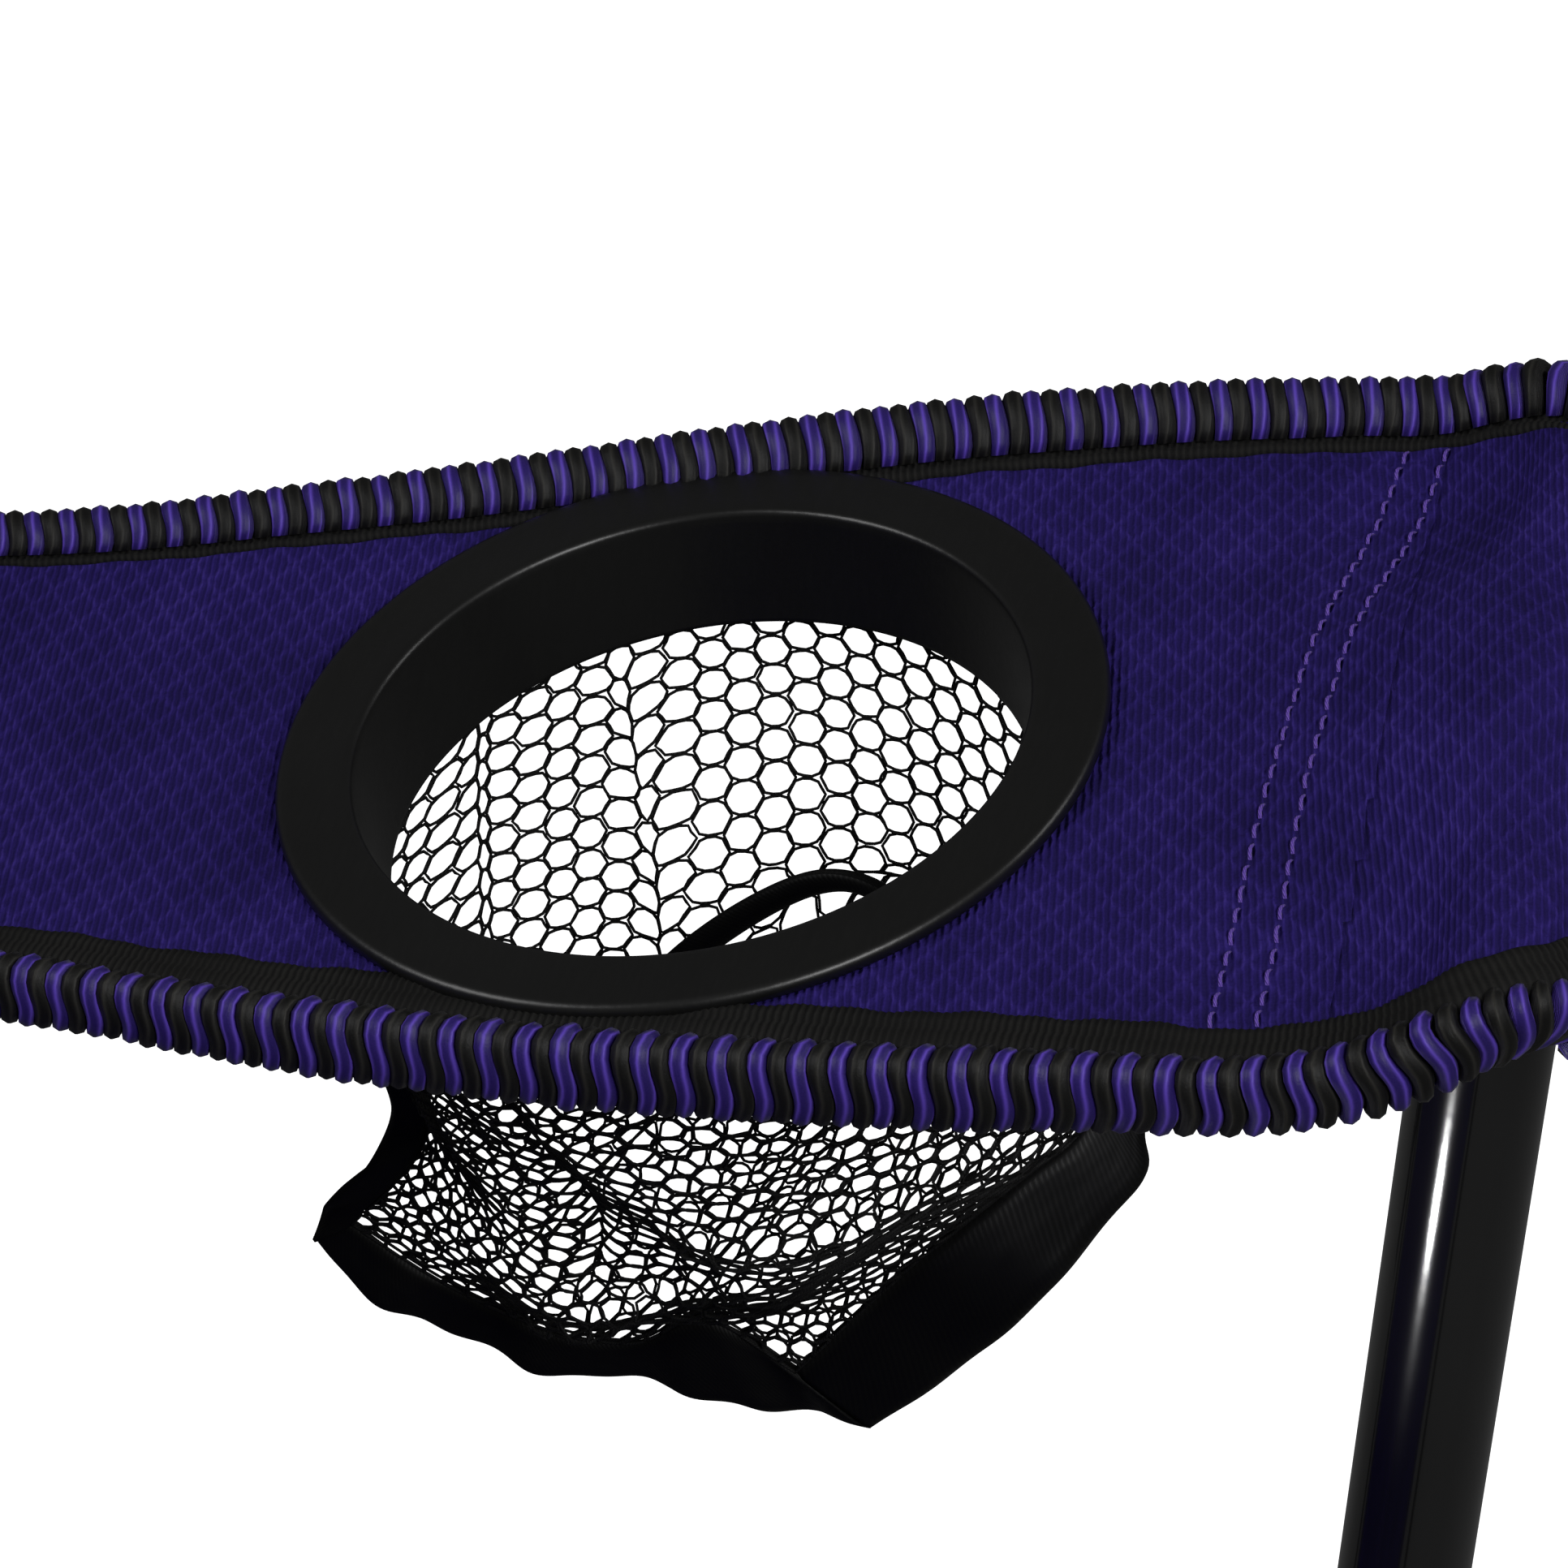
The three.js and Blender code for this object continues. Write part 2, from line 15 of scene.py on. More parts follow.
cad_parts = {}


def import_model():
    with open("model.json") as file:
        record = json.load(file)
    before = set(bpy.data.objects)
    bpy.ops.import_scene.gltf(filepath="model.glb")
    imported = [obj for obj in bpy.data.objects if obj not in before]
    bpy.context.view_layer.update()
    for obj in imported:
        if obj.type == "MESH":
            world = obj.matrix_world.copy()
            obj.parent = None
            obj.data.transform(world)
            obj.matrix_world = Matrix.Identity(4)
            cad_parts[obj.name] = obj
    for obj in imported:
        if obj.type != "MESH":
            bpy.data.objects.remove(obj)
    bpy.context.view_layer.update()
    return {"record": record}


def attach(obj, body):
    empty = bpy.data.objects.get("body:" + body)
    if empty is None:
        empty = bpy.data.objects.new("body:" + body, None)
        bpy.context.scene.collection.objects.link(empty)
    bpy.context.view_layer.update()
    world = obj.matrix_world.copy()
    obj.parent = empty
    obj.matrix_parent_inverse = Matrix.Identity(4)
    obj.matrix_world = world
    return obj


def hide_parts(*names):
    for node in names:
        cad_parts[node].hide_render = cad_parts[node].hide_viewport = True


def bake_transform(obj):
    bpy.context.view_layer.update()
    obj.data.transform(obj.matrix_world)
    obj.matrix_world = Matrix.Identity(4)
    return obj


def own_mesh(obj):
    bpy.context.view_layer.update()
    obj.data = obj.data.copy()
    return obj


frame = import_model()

MM = 0.001
RANDOM = np.random.default_rng(7)
UP = np.array([0, 0, 1.0])
DEEP = np.array([0, 1.0, 0])    # towards the back of the chair

# ---- the frame's dimensions, as the CAD has them
HALF = 250.0
POST_R = 9.0
FRONT_TOP = 666.0
BACK_TOP = 838.0
PITCH = math.radians(11.77)
ROLL = math.radians(4.1)
ARM_X = 244.0
RING_FROM_POST = 103.4
ARM_FRONT_Z = 675.0
ARM_BACK_Z = 646.0
ARM_BEND_Y = -85.0
ARM_RISE_Y = -205.0
ARM_RISE = 11.0
FLANGE_THICK = 2.3
HOLE_R = 47.0
PIVOT_INSET = 26.0
CROSS_OFFSET = 8.6
FOOT_PIVOT_Z = 30.0
SLEEVE_PIVOT_Z = 390.0
SEAT_EDGE = 231.0
SEAT_Z = 412.0
SEAT_SAG = 22.0
BACK_BOTTOM_Z = 418.0
BACK_TOP_Z = 826.0
BACK_POCKET_Z = 690.0

# ---- the sewn details
CLOTH_THICK = 1.3
RIB_PITCH = 2.42            # the binding's ribs are black and violet in turn
BAND_WIDTH = 5.6
HOOD_END_Y = -233.0         # the second row of stitches
NET_PITCH = 4.1

# Half width of the armrest's cloth at stations from the hem (negative) to the rear strap.
WIDTH_IN = [(-296, 16), (-275, 28), (-262, 46), (-252, 55), (-240, 57.5), (-226, 58.5), (-202, 57),
            (-173, 55.5), (-147, 53.5), (-107, 48), (-68, 41), (-43, 38), (60, 33), (180, 30), (232, 20)]
WIDTH_OUT = [(-296, 12), (-275, 22), (-262, 40), (-252, 53), (-240, 58), (-226, 60), (-202, 59), (-173, 56.5),
             (-147, 52.5), (-107, 46), (-68, 41.5), (-43, 39), (60, 33), (180, 30), (232, 20)]

# ---- small maths


def smoothstep(x, low, high):
    t = np.clip((np.asarray(x, float) - low) / (high - low), 0, 1)
    return t * t * (3 - 2 * t)


def unit(v):
    v = np.asarray(v, float)
    return v / np.maximum(np.linalg.norm(v, axis=-1, keepdims=True), 1e-9)


def arc_length(points):
    steps = np.linalg.norm(np.diff(points, axis=0), axis=1)
    return np.concatenate([[0], np.cumsum(steps)])


def resample(points, count=None, step=None):
    """Points spaced evenly along a polyline."""
    points = np.asarray(points, float)
    s = arc_length(points)
    if count is None:
        count = int(round(s[-1] / step)) + 1
    t = np.linspace(0, s[-1], count)
    return rows_at(t, s, points)


def spline(points, count):
    """A Catmull-Rom curve through points, spaced evenly."""
    p = np.asarray(points, float)
    p = np.vstack([2 * p[0] - p[1], p, 2 * p[-1] - p[-2]])
    out = []
    for a, b, c, d in zip(p[:-3], p[1:-2], p[2:-1], p[3:]):
        t = np.linspace(0, 1, 24, endpoint=False)[:, None]
        out.append(0.5 * (2 * b + (c - a) * t + (2 * a - 5 * b + 4 * c - d) * t**2
                          + (3 * b - a - 3 * c + d) * t**3))
    return resample(np.vstack(out + [p[-2][None]]), count)


def smoothed(values, window):
    kernel = np.ones(window) / window
    padded = np.pad(values, window // 2, mode="edge")
    return np.convolve(padded, kernel, mode="valid")[:len(values)]


def rows_at(x, places, rows):
    """Rows of numbers, read off at x between the places where they are given."""
    return np.stack([np.interp(x, places, rows[:, k]) for k in range(rows.shape[1])], axis=-1)


def grid(a, b):
    """Every pair of a and b, as a lattice of points."""
    return np.stack(np.meshgrid(a, b, indexing="ij"), axis=-1)


RING_U = np.array([0, -math.cos(PITCH), math.sin(PITCH)])
_up = np.array([0, math.sin(PITCH), math.cos(PITCH)])
RING_N = _up * math.cos(ROLL) + np.cross(RING_U, _up) * math.sin(ROLL)
RING_V = np.cross(RING_N, RING_U)
RING_C = np.array([ARM_X, -HALF + RING_FROM_POST, ARM_FRONT_Z - math.tan(PITCH) * RING_FROM_POST])


def from_ring(points):
    """Ring-frame points (u, v, n) to the chair's own frame."""
    p = np.asarray(points, float)
    return RING_C + p[..., :1] * RING_U + p[..., 1:2] * RING_V + p[..., 2:3] * RING_N


# ---- meshes


class Shell:
    """Collects points and faces, each face with the number of its material."""

    def __init__(self):
        self.points, self.uvs, self.faces, self.marks, self.count = [], [], [], [], 0

    def add(self, points, faces, mark=0, uv=None):
        points = np.asarray(points, float).reshape(-1, 3)
        for block in faces if isinstance(faces, list) else [faces]:
            self.faces.append(np.asarray(block, int) + self.count)
            self.marks.append(np.full(len(block), mark, int))
        self.points.append(points)
        self.uvs.append(np.zeros((len(points), 2)) if uv is None else np.asarray(uv, float).reshape(-1, 2))
        self.count += len(points)

    def build(self, name, materials, mirror=False, closed=True):
        """The mesh object; mirror flips it to the other side of the chair."""
        points = np.vstack(self.points)
        if mirror:
            points = points * (-1, 1, 1)
        uvs = np.vstack(self.uvs)
        corners, starts, marks, at = [], [], [], 0
        for block, mark in zip(self.faces, self.marks):
            if mirror:
                block = block[:, ::-1]
            corners.append(block.ravel())
            starts.append(at + np.arange(len(block)) * block.shape[1])
            marks.append(mark)
            at += block.size
        corners = np.concatenate(corners)
        used, corners = np.unique(corners, return_inverse=True)
        mesh = bpy.data.meshes.new(name)
        mesh.vertices.add(len(used))
        mesh.vertices.foreach_set("co", (points[used] * MM).ravel())
        mesh.loops.add(len(corners))
        mesh.loops.foreach_set("vertex_index", corners)
        starts = np.concatenate(starts)
        mesh.polygons.add(len(starts))
        mesh.polygons.foreach_set("loop_start", starts)
        mesh.polygons.foreach_set("material_index", np.concatenate(marks))
        mesh.polygons.foreach_set("use_smooth", np.full(len(starts), True))
        layer = mesh.uv_layers.new(name="weave")
        layer.data.foreach_set("uv", uvs[used][corners].ravel())
        mesh.update(calc_edges=True)
        mesh.validate()
        if closed:
            work = bmesh.new()
            work.from_mesh(mesh)
            bmesh.ops.recalc_face_normals(work, faces=work.faces)
            work.to_mesh(mesh)
            work.free()
        for material in materials:
            mesh.materials.append(material)
        obj = bpy.data.objects.new(name, mesh)
        bpy.context.scene.collection.objects.link(obj)
        return obj


def lattice(rows, cols, wrap_rows=False, wrap_cols=False):
    """Quads of a rows x cols lattice of points."""
    i = np.arange(rows if wrap_rows else rows - 1)[:, None]
    j = np.arange(cols if wrap_cols else cols - 1)[None, :]
    i2, j2 = (i + 1) % rows, (j + 1) % cols
    quads = [i * cols + j, i * cols + j2, i2 * cols + j2, i2 * cols + j]
    return np.stack([q.ravel() for q in np.broadcast_arrays(*quads)], axis=1)


def end_caps(rows, cols):
    """The two end faces of a lattice whose columns wrap round."""
    ring = np.arange(cols)
    return [ring[::-1][None], (ring + (rows - 1) * cols)[None]]


def add_cloth(shell, top, under, uv, keep=None):
    """A sheet of cloth with a top and an under face, closed all round; keep(centres) picks its faces."""
    rows, cols = top.shape[:2]
    flat = top.reshape(-1, 3)
    faces = lattice(rows, cols)
    if keep is not None:
        faces = faces[keep(flat[faces].mean(axis=1))]
    edges = np.concatenate([faces[:, [k, (k + 1) % 4]] for k in range(4)])
    low, high = edges.min(axis=1), edges.max(axis=1)
    _, first, seen = np.unique(low * len(flat) + high, return_index=True, return_counts=True)
    rim = edges[first[seen == 1]]
    walls = np.stack([rim[:, 1], rim[:, 0], rim[:, 0] + len(flat), rim[:, 1] + len(flat)], axis=1)
    shell.add(np.concatenate([flat, under.reshape(-1, 3)]), [faces, faces[:, ::-1] + len(flat), walls], 0,
              np.concatenate([uv.reshape(-1, 2)] * 2))


def add_tube(shell, path, side, up, section, mark=0, uv_scale=1.0):
    """Sweep a closed section of (side, up) offsets along a path, with its ends closed."""
    path, section = np.asarray(path, float), np.asarray(section, float)
    side, up = np.broadcast_to(side, path.shape), np.broadcast_to(up, path.shape)
    rows, cols = len(path), len(section)
    points = path[:, None] + side[:, None] * section[None, :, :1] + up[:, None] * section[None, :, 1:]
    uv = grid(arc_length(path), np.linspace(0, 1, cols) * uv_scale)
    shell.add(points, [lattice(rows, cols, wrap_cols=True)] + end_caps(rows, cols), mark, uv)


def circle(radius, count, squash=1.0):
    a = np.arange(count) * 2 * math.pi / count
    return np.stack([radius * np.cos(a), radius * squash * np.sin(a)], axis=1)


def add_round(shell, profile, segments, origin=(0, 0, 0), axes=None):
    """Turn a closed profile of (radius, height) about an axis. axes are the x, y and turning axes."""
    profile = np.asarray(profile, float)
    a = np.arange(segments) * 2 * math.pi / segments
    x, y, z = np.eye(3) if axes is None else axes
    spokes = np.cos(a)[:, None] * x + np.sin(a)[:, None] * y
    points = (np.asarray(origin, float) + spokes[None] * profile[:, None, :1]
              + np.asarray(z, float) * profile[:, None, 1:])
    uv = grid(arc_length(profile), a * profile[:, 0].max())
    shell.add(points, lattice(len(profile), segments, wrap_rows=True, wrap_cols=True), 0, uv)


def rounded(profile, radius=0.6, steps=4):
    """Round off the corners of a profile of (radius, height) points."""
    p = np.asarray(profile, float)
    n = len(p)
    out = []
    for i in range(n):
        a, b, c = p[i - 1], p[i], p[(i + 1) % n]
        cut = min(radius, 0.45 * np.linalg.norm(a - b), 0.45 * np.linalg.norm(c - b))
        start, end = b + unit(a - b) * cut, b + unit(c - b) * cut
        for t in np.linspace(0, 1, steps):
            out.append((1 - t)**2 * start + 2 * t * (1 - t) * b + t * t * end)
    return np.array(out)


def finish_piece(obj, body, slot, *nodes):
    """The piece rides on its body, and stands for its CAD nodes."""
    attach(obj, body)
    if nodes:
        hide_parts(*nodes)
    return obj


# ---- materials


class Look:
    """A material's node tree, with its shader."""

    def __init__(self, name, colour, roughness, metallic=0.0, **sockets):
        self.material = bpy.data.materials.new(name)
        self.material.use_nodes = True
        self.tree = self.material.node_tree
        self.shader = self.tree.nodes["Principled BSDF"]
        self.shader.inputs["Base Color"].default_value = (*colour, 1)
        self.shader.inputs["Roughness"].default_value = roughness
        self.shader.inputs["Metallic"].default_value = metallic
        for socket, value in sockets.items():
            self.shader.inputs[socket.replace("_", " ")].default_value = value

    def node(self, kind, links=None, **settings):
        node = self.tree.nodes.new(kind)
        for key, value in settings.items():
            setattr(node, key, value)
        for socket, value in (links or {}).items():
            if isinstance(value, bpy.types.NodeSocket):
                self.tree.links.new(value, node.inputs[socket])
            else:
                node.inputs[socket].default_value = value
        return node

    def weave(self):
        return self.node("ShaderNodeUVMap", uv_map="weave").outputs["UV"]

    def place(self):
        return self.node("ShaderNodeTexCoord").outputs["Object"]

    def turned(self, vector, degrees, scale=(1, 1, 1)):
        return self.node("ShaderNodeMapping", {
            "Vector": vector, "Rotation": (0, 0, math.radians(degrees)), "Scale": scale}).outputs[0]

    def wave(self, vector, period, distortion=0.0, detail=0.0, detail_scale=1.0):
        """Bands across x with a period in the vector's own units."""
        return self.node("ShaderNodeTexWave", {
            "Vector": vector, "Scale": 0.31416 / period, "Distortion": distortion,
            "Detail": detail, "Detail Scale": detail_scale}).outputs["Fac"]

    def noise(self, vector, scale, detail=3.0, roughness=0.5):
        return self.node("ShaderNodeTexNoise", {
            "Vector": vector, "Scale": scale, "Detail": detail, "Roughness": roughness}).outputs["Fac"]

    def math(self, operation, a, b):
        return self.node("ShaderNodeMath", {0: a, 1: b}, operation=operation).outputs[0]

    def mix(self, first, first_share, second, second_share):
        """A weighted sum of two factors."""
        return self.math("ADD", self.math("MULTIPLY", first, first_share),
                         self.math("MULTIPLY", second, second_share))

    def between(self, factor, low, high):
        """A colour from low to high as the factor goes from 0 to 1."""
        ramp = self.node("ShaderNodeValToRGB", {"Fac": factor})
        ramp.color_ramp.elements[0].color = (*low, 1)
        ramp.color_ramp.elements[1].color = (*high, 1)
        return ramp

    def colour(self, socket):
        self.tree.links.new(socket, self.shader.inputs["Base Color"])

    def roughness(self, factor, low, high):
        out = self.node("ShaderNodeMapRange", {"Value": factor, "To Min": low, "To Max": high})
        self.tree.links.new(out.outputs[0], self.shader.inputs["Roughness"])

    def bump(self, height, distance_mm, strength=1.0):
        node = self.node("ShaderNodeBump", {
            "Height": height, "Distance": distance_mm * MM, "Strength": strength})
        self.tree.links.new(node.outputs[0], self.shader.inputs["Normal"])


def cloth_look(name, dark, mid, light):
    """Violet polyester: fine cross ribs under a raised diamond pattern, painted lighter where they stand up,
    a painted highlight.
    """
    look = Look(name, mid, 0.8, Specular_IOR_Level=0.12)
    uv = look.weave()
    ribs = look.wave(look.turned(uv, 8), 0.95, 1.6, 2.0, 1.4)
    rising = look.wave(look.turned(uv, 38), 3.6, 0.8, 1.0, 0.6)
    falling = look.wave(look.turned(uv, -30), 4.2, 0.8, 1.0, 0.6)
    diamonds = look.math("POWER", look.math("MAXIMUM", rising, falling), 5.0)
    grain = look.noise(uv, 2.4, 4.0, 0.6)
    height = look.mix(diamonds, 0.38, ribs, 0.5)
    height = look.math("ADD", height, look.math("MULTIPLY", grain, 0.35))
    look.bump(height, 0.6, 1.0)
    patches = look.noise(uv, 0.045, 3.0, 0.55)
    # The colour follows the weave's height, a painted highlight on the raised ribs and diamonds, mixed with
    # large patches of random tone.
    tone = look.mix(height, 0.42, patches, 0.55)
    ramp = look.between(tone, dark, light)
    ramp.color_ramp.elements[0].position = 0.30
    ramp.color_ramp.elements[1].position = 0.95
    ramp.color_ramp.elements.new(0.60).color = (*mid, 1)
    look.colour(ramp.outputs[0])
    look.roughness(height, 0.7, 0.9)
    return look.material


def thread_look(name, dark, light, roughness, sheen, slant=58, pitch=0.42, narrow=1.0):
    """Twisted yarn over a rib: slanting strands along and around it, bright only along their crests, a
    painted highlight.
    """
    look = Look(name, light, roughness, Specular_IOR_Level=0.3, Sheen_Weight=sheen, Sheen_Roughness=0.35)
    uv = look.weave()
    strands = look.math("POWER", look.wave(look.turned(uv, slant), pitch, 0.6, 1.0, 1.0), narrow)
    fuzz = look.noise(uv, 5.0, 3.0, 0.7)
    height = look.mix(strands, 0.8, fuzz, 0.3)
    look.bump(height, 0.16, 0.9)
    # Painted highlight: the colour goes from dark between the strands to light on their crests.
    look.colour(look.between(height, dark, light).outputs[0])
    look.roughness(fuzz, roughness - 0.08, roughness + 0.12)
    return look.material


def grosgrain_look(name):
    """Black ribbed tape, painted lighter on its rib crests and darker in the grooves: painted highlight and
    shade.
    """
    look = Look(name, (0.010, 0.010, 0.010), 0.75, Specular_IOR_Level=0.2)
    uv = look.weave()
    ribs = look.wave(uv, 0.95, 0.5, 1.0, 1.0)
    fuzz = look.noise(uv, 4.0, 3.0, 0.7)
    height = look.mix(ribs, 0.7, fuzz, 0.4)
    look.bump(height, 0.25, 0.9)
    # Painted highlight and shade: the colour follows the rib height.
    look.colour(look.between(height, (0.002, 0.002, 0.002), (0.016, 0.0155, 0.0145)).outputs[0])
    look.roughness(fuzz, 0.6, 0.9)
    return look.material


def satin_look(name):
    """Thin black nylon tape, with a fine twill and soft creases, painted darker in the crease hollows and
    lighter on their ridges: painted shade and highlight.
    """
    look = Look(name, (0.004, 0.004, 0.004), 0.55, Specular_IOR_Level=0.12)
    uv = look.weave()
    twill = look.wave(look.turned(uv, 45), 0.5, 0.3, 0.0, 1.0)
    creases = look.noise(look.turned(uv, 0, (0.5, 1.4, 1)), 0.16, 2.0, 0.5)
    height = look.mix(twill, 0.03, creases, 0.9)
    look.bump(height, 0.9, 0.7)
    # Painted shade and highlight: the colour follows the height of the creases.
    look.colour(look.between(creases, (0.002, 0.002, 0.002), (0.006, 0.006, 0.006)).outputs[0])
    look.roughness(twill, 0.45, 0.6)
    return look.material


def net_look(name):
    """Black knitted yarn, painted lighter along the crests of its strands, a painted highlight."""
    look = Look(name, (0.006, 0.006, 0.006), 0.7, Specular_IOR_Level=0.2)
    strands = look.wave(look.turned(look.weave(), 50), 0.3, 0.8, 1.0, 1.0)
    look.bump(strands, 0.06, 0.8)
    # Painted highlight: the colour follows the height of the strands.
    look.colour(look.between(strands, (0.003, 0.003, 0.003), (0.012, 0.012, 0.012)).outputs[0])
    return look.material


def plastic_look(name, colour, roughness, grain_mm, depth_mm):
    """Moulded plastic: a fine grain, faint flow marks and scuffs."""
    look = Look(name, colour, roughness)
    place = look.place()
    grain = look.noise(place, 1000 / grain_mm, 2.0, 0.5)
    flow = look.noise(place, 24.0, 3.0, 0.6)
    scuffs = look.math("POWER", look.noise(look.turned(place, 30, (1, 6, 1)), 260.0, 2.0, 0.6), 3.0)
    look.bump(look.math("ADD", grain, look.math("MULTIPLY", flow, 1.5)), depth_mm, 0.6)
    tone = look.mix(scuffs, 0.5, flow, 0.5)
    darker, lighter = (tuple(share * c for c in colour) for share in (0.7, 1.7))
    look.colour(look.between(tone, darker, lighter).outputs[0])
    look.roughness(flow, roughness - 0.07, roughness + 0.07)
    return look.material


def paint_look(name):
    """Gloss black powder coat on steel: a slight orange peel."""
    look = Look(name, (0.004, 0.004, 0.004), 0.14, Coat_Weight=0.6, Coat_Roughness=0.03)
    place = look.place()
    peel = look.noise(place, 420.0, 2.0, 0.4)
    haze = look.noise(place, 18.0, 3.0, 0.6)
    look.bump(peel, 0.02, 0.5)
    look.colour(look.between(haze, (0.003, 0.003, 0.003), (0.007, 0.007, 0.007)).outputs[0])
    look.roughness(haze, 0.1, 0.18)
    return look.material


def steel_look(name):
    """Zinc-plated rivet steel, brushed, with dull spots."""
    look = Look(name, (0.55, 0.56, 0.58), 0.3, metallic=1.0)
    place = look.place()
    brush = look.noise(look.turned(place, 0, (1, 1, 9)), 500.0, 2.0, 0.5)
    spots = look.noise(place, 220.0, 3.0, 0.6)
    look.bump(brush, 0.03, 0.6)
    look.colour(look.between(spots, (0.32, 0.33, 0.34), (0.66, 0.67, 0.69)).outputs[0])
    look.roughness(spots, 0.22, 0.42)
    return look.material


def floor_look(name):
    """A pale floor, brighter to look at than as a light on the chair."""
    look = Look(name, (0.9, 0.9, 0.9), 0.85)
    seen = look.node("ShaderNodeLightPath").outputs["Is Camera Ray"]
    speckle = look.noise(look.place(), 3.0, 2.0, 0.5)
    tone = look.math("MULTIPLY", look.math("ADD", speckle, 5.0), 0.16)
    tone = look.math("MULTIPLY", tone, look.math("ADD", look.math("MULTIPLY", seen, 0.88), 0.12))
    look.colour(look.between(tone, (0, 0, 0), (1, 1, 1)).outputs[0])
    glow = look.node("ShaderNodeMapRange", {"Value": seen, "To Min": 0.03, "To Max": 0.9})
    look.shader.inputs["Emission Color"].default_value = (1, 1, 1, 1)
    look.tree.links.new(glow.outputs[0], look.shader.inputs["Emission Strength"])
    return look.material


# The last colour given to the cloth and to each yarn is a painted highlight for their raised crests; on the
# cloth it mixes with random patches of tone.
CLOTH = cloth_look("violet_cloth", (0.0135, 0.0085, 0.078), (0.028, 0.016, 0.168), (0.072, 0.044, 0.335))
VIOLET = thread_look("violet_yarn", (0.008, 0.004, 0.075), (0.13, 0.070, 0.56), 0.4, 0.05, 84, 1.6, 3.0)
BLACK_YARN = thread_look("black_yarn", (0.0015, 0.0015, 0.0014), (0.024, 0.023, 0.020), 0.5, 0.02,
                         84, 1.6, 3.0)
STITCH = thread_look("stitch_thread", (0.09, 0.045, 0.36), (0.24, 0.13, 0.66), 0.5, 0.1)
GROSGRAIN = grosgrain_look("black_grosgrain")
SATIN = satin_look("black_satin_tape")
NET = net_look("black_net")
RING_PLASTIC = plastic_look("cup_ring_plastic", (0.0065, 0.0065, 0.0063), 0.34, 1.4, 0.05)
FITTING_PLASTIC = plastic_look("fitting_plastic", (0.011, 0.011, 0.011), 0.45, 0.9, 0.06)
PAINT = paint_look("black_powder_coat")
STEEL = steel_look("rivet_zinc")
BINDING = [BLACK_YARN, VIOLET, GROSGRAIN]

# ---- the armrest's surface


def arm_height(y):
    """Height of the armrest's middle line above the ground."""
    y = np.asarray(y, float)
    slope = math.tan(PITCH)
    start = ARM_FRONT_Z - FLANGE_THICK - 0.3
    rise = ARM_RISE * smoothstep(ARM_RISE_Y - y, 0, HALF + ARM_RISE_Y)
    curl = (ARM_BACK_Z - (start - slope * 2 * HALF)) / (HALF - ARM_BEND_Y)**2
    return start - slope * (y + HALF) + curl * np.maximum(0, y - ARM_BEND_Y)**2 + rise


def arm_line():
    """The middle line from the hem in front of the post to the rear strap, at 1 mm stations."""
    top = np.array([-244.0, float(arm_height(-244.0))])
    hem = np.array([-267.0, 642.0])
    t = np.linspace(0, 1, 60)[:-1, None]
    a, b = hem + (0, 32), top + (-17, 1.2)
    bend = (1 - t)**3 * hem + 3 * t * (1 - t)**2 * a + 3 * t * t * (1 - t) * b + t**3 * top
    y = np.arange(-244.0, 232.5, 1.0)
    line = resample(np.vstack([bend, np.stack([y, arm_height(y)], axis=1)]), step=1.0)
    smooth = np.stack([smoothed(line[:, 0], 7), smoothed(line[:, 1], 7)], axis=1)
    smooth[0], smooth[-1] = line[0], line[-1]
    return smooth


ARM = arm_line()
ARM_S = arc_length(ARM)
ARM_TOP_AT = int(np.argmin(np.abs(ARM[:, 0] + 244)))
STATION = np.where(np.arange(len(ARM)) < ARM_TOP_AT, -244 - (ARM_S[ARM_TOP_AT] - ARM_S), ARM[:, 0])
ARM_ROLL = ROLL * (1 - smoothstep(ARM[:, 0], ARM_BEND_Y, HALF))
LATERAL = np.stack([np.cos(ARM_ROLL), 0 * ARM_ROLL, np.sin(ARM_ROLL)], axis=1)
TANGENT = unit(np.stack([0 * ARM_S, np.gradient(ARM[:, 0]), np.gradient(ARM[:, 1])], axis=1))
ARM_UP = unit(np.cross(LATERAL, TANGENT))
ARM_MIDDLE = np.stack([np.full(len(ARM), ARM_X), ARM[:, 0], ARM[:, 1]], axis=1)


def half_width(table):
    wide = np.interp(STATION, [q for q, _ in table], [w for _, w in table])
    return smoothed(wide, 17)


IN_WIDTH = half_width(WIDTH_IN)
OUT_WIDTH = half_width(WIDTH_OUT)


def stitch_rows(w):
    """Distance in front of the ring's middle of the two curved rows of stitches, across the armrest."""
    first = 75.6 + 0.066 * w + 0.0004 * w * w
    return first, first + 5.6


def cloth_lift(y, w):
    """Small height changes of the cloth: puckers along the stitches, slack near the post."""
    u = -(y + HALF - RING_FROM_POST) / math.cos(PITCH)
    first, second = stitch_rows(w)
    late = ARM_RISE * smoothstep(-y, 226, 262) - ARM_RISE * smoothstep(ARM_RISE_Y - y, 0, HALF + ARM_RISE_Y)
    lift = late * smoothstep(np.abs(w), 8, 46) * (y > -HALF - 10)
    for row, phase in ((first, 0.0), (second, 1.3)):
        near = np.exp(-((u - row) / 3.4)**2)
        wide = np.exp(-((u - row) / 11.0)**2)
        lift = lift + 0.09 * wide * np.sin(w * 2 * math.pi / 7.3 + phase + 0.5 * np.sin(w / 9))
        lift = lift + 0.06 * wide * np.sin(w * 2 * math.pi / 11.9 + 2 * phase) - 0.42 * near
    ahead = smoothstep(u, 84, 104)
    lift = lift + ahead * (0.5 * np.sin((u - 0.8 * w) / 5.2) + 0.4 * np.sin((u + 1.1 * w) / 7.9))
    loose = smoothstep(np.abs(u), 54, 75)
    lift = lift + loose * 0.35 * np.sin(u / 13.0 + w / 17.0) * np.cos(w / 15.0)
    return lift


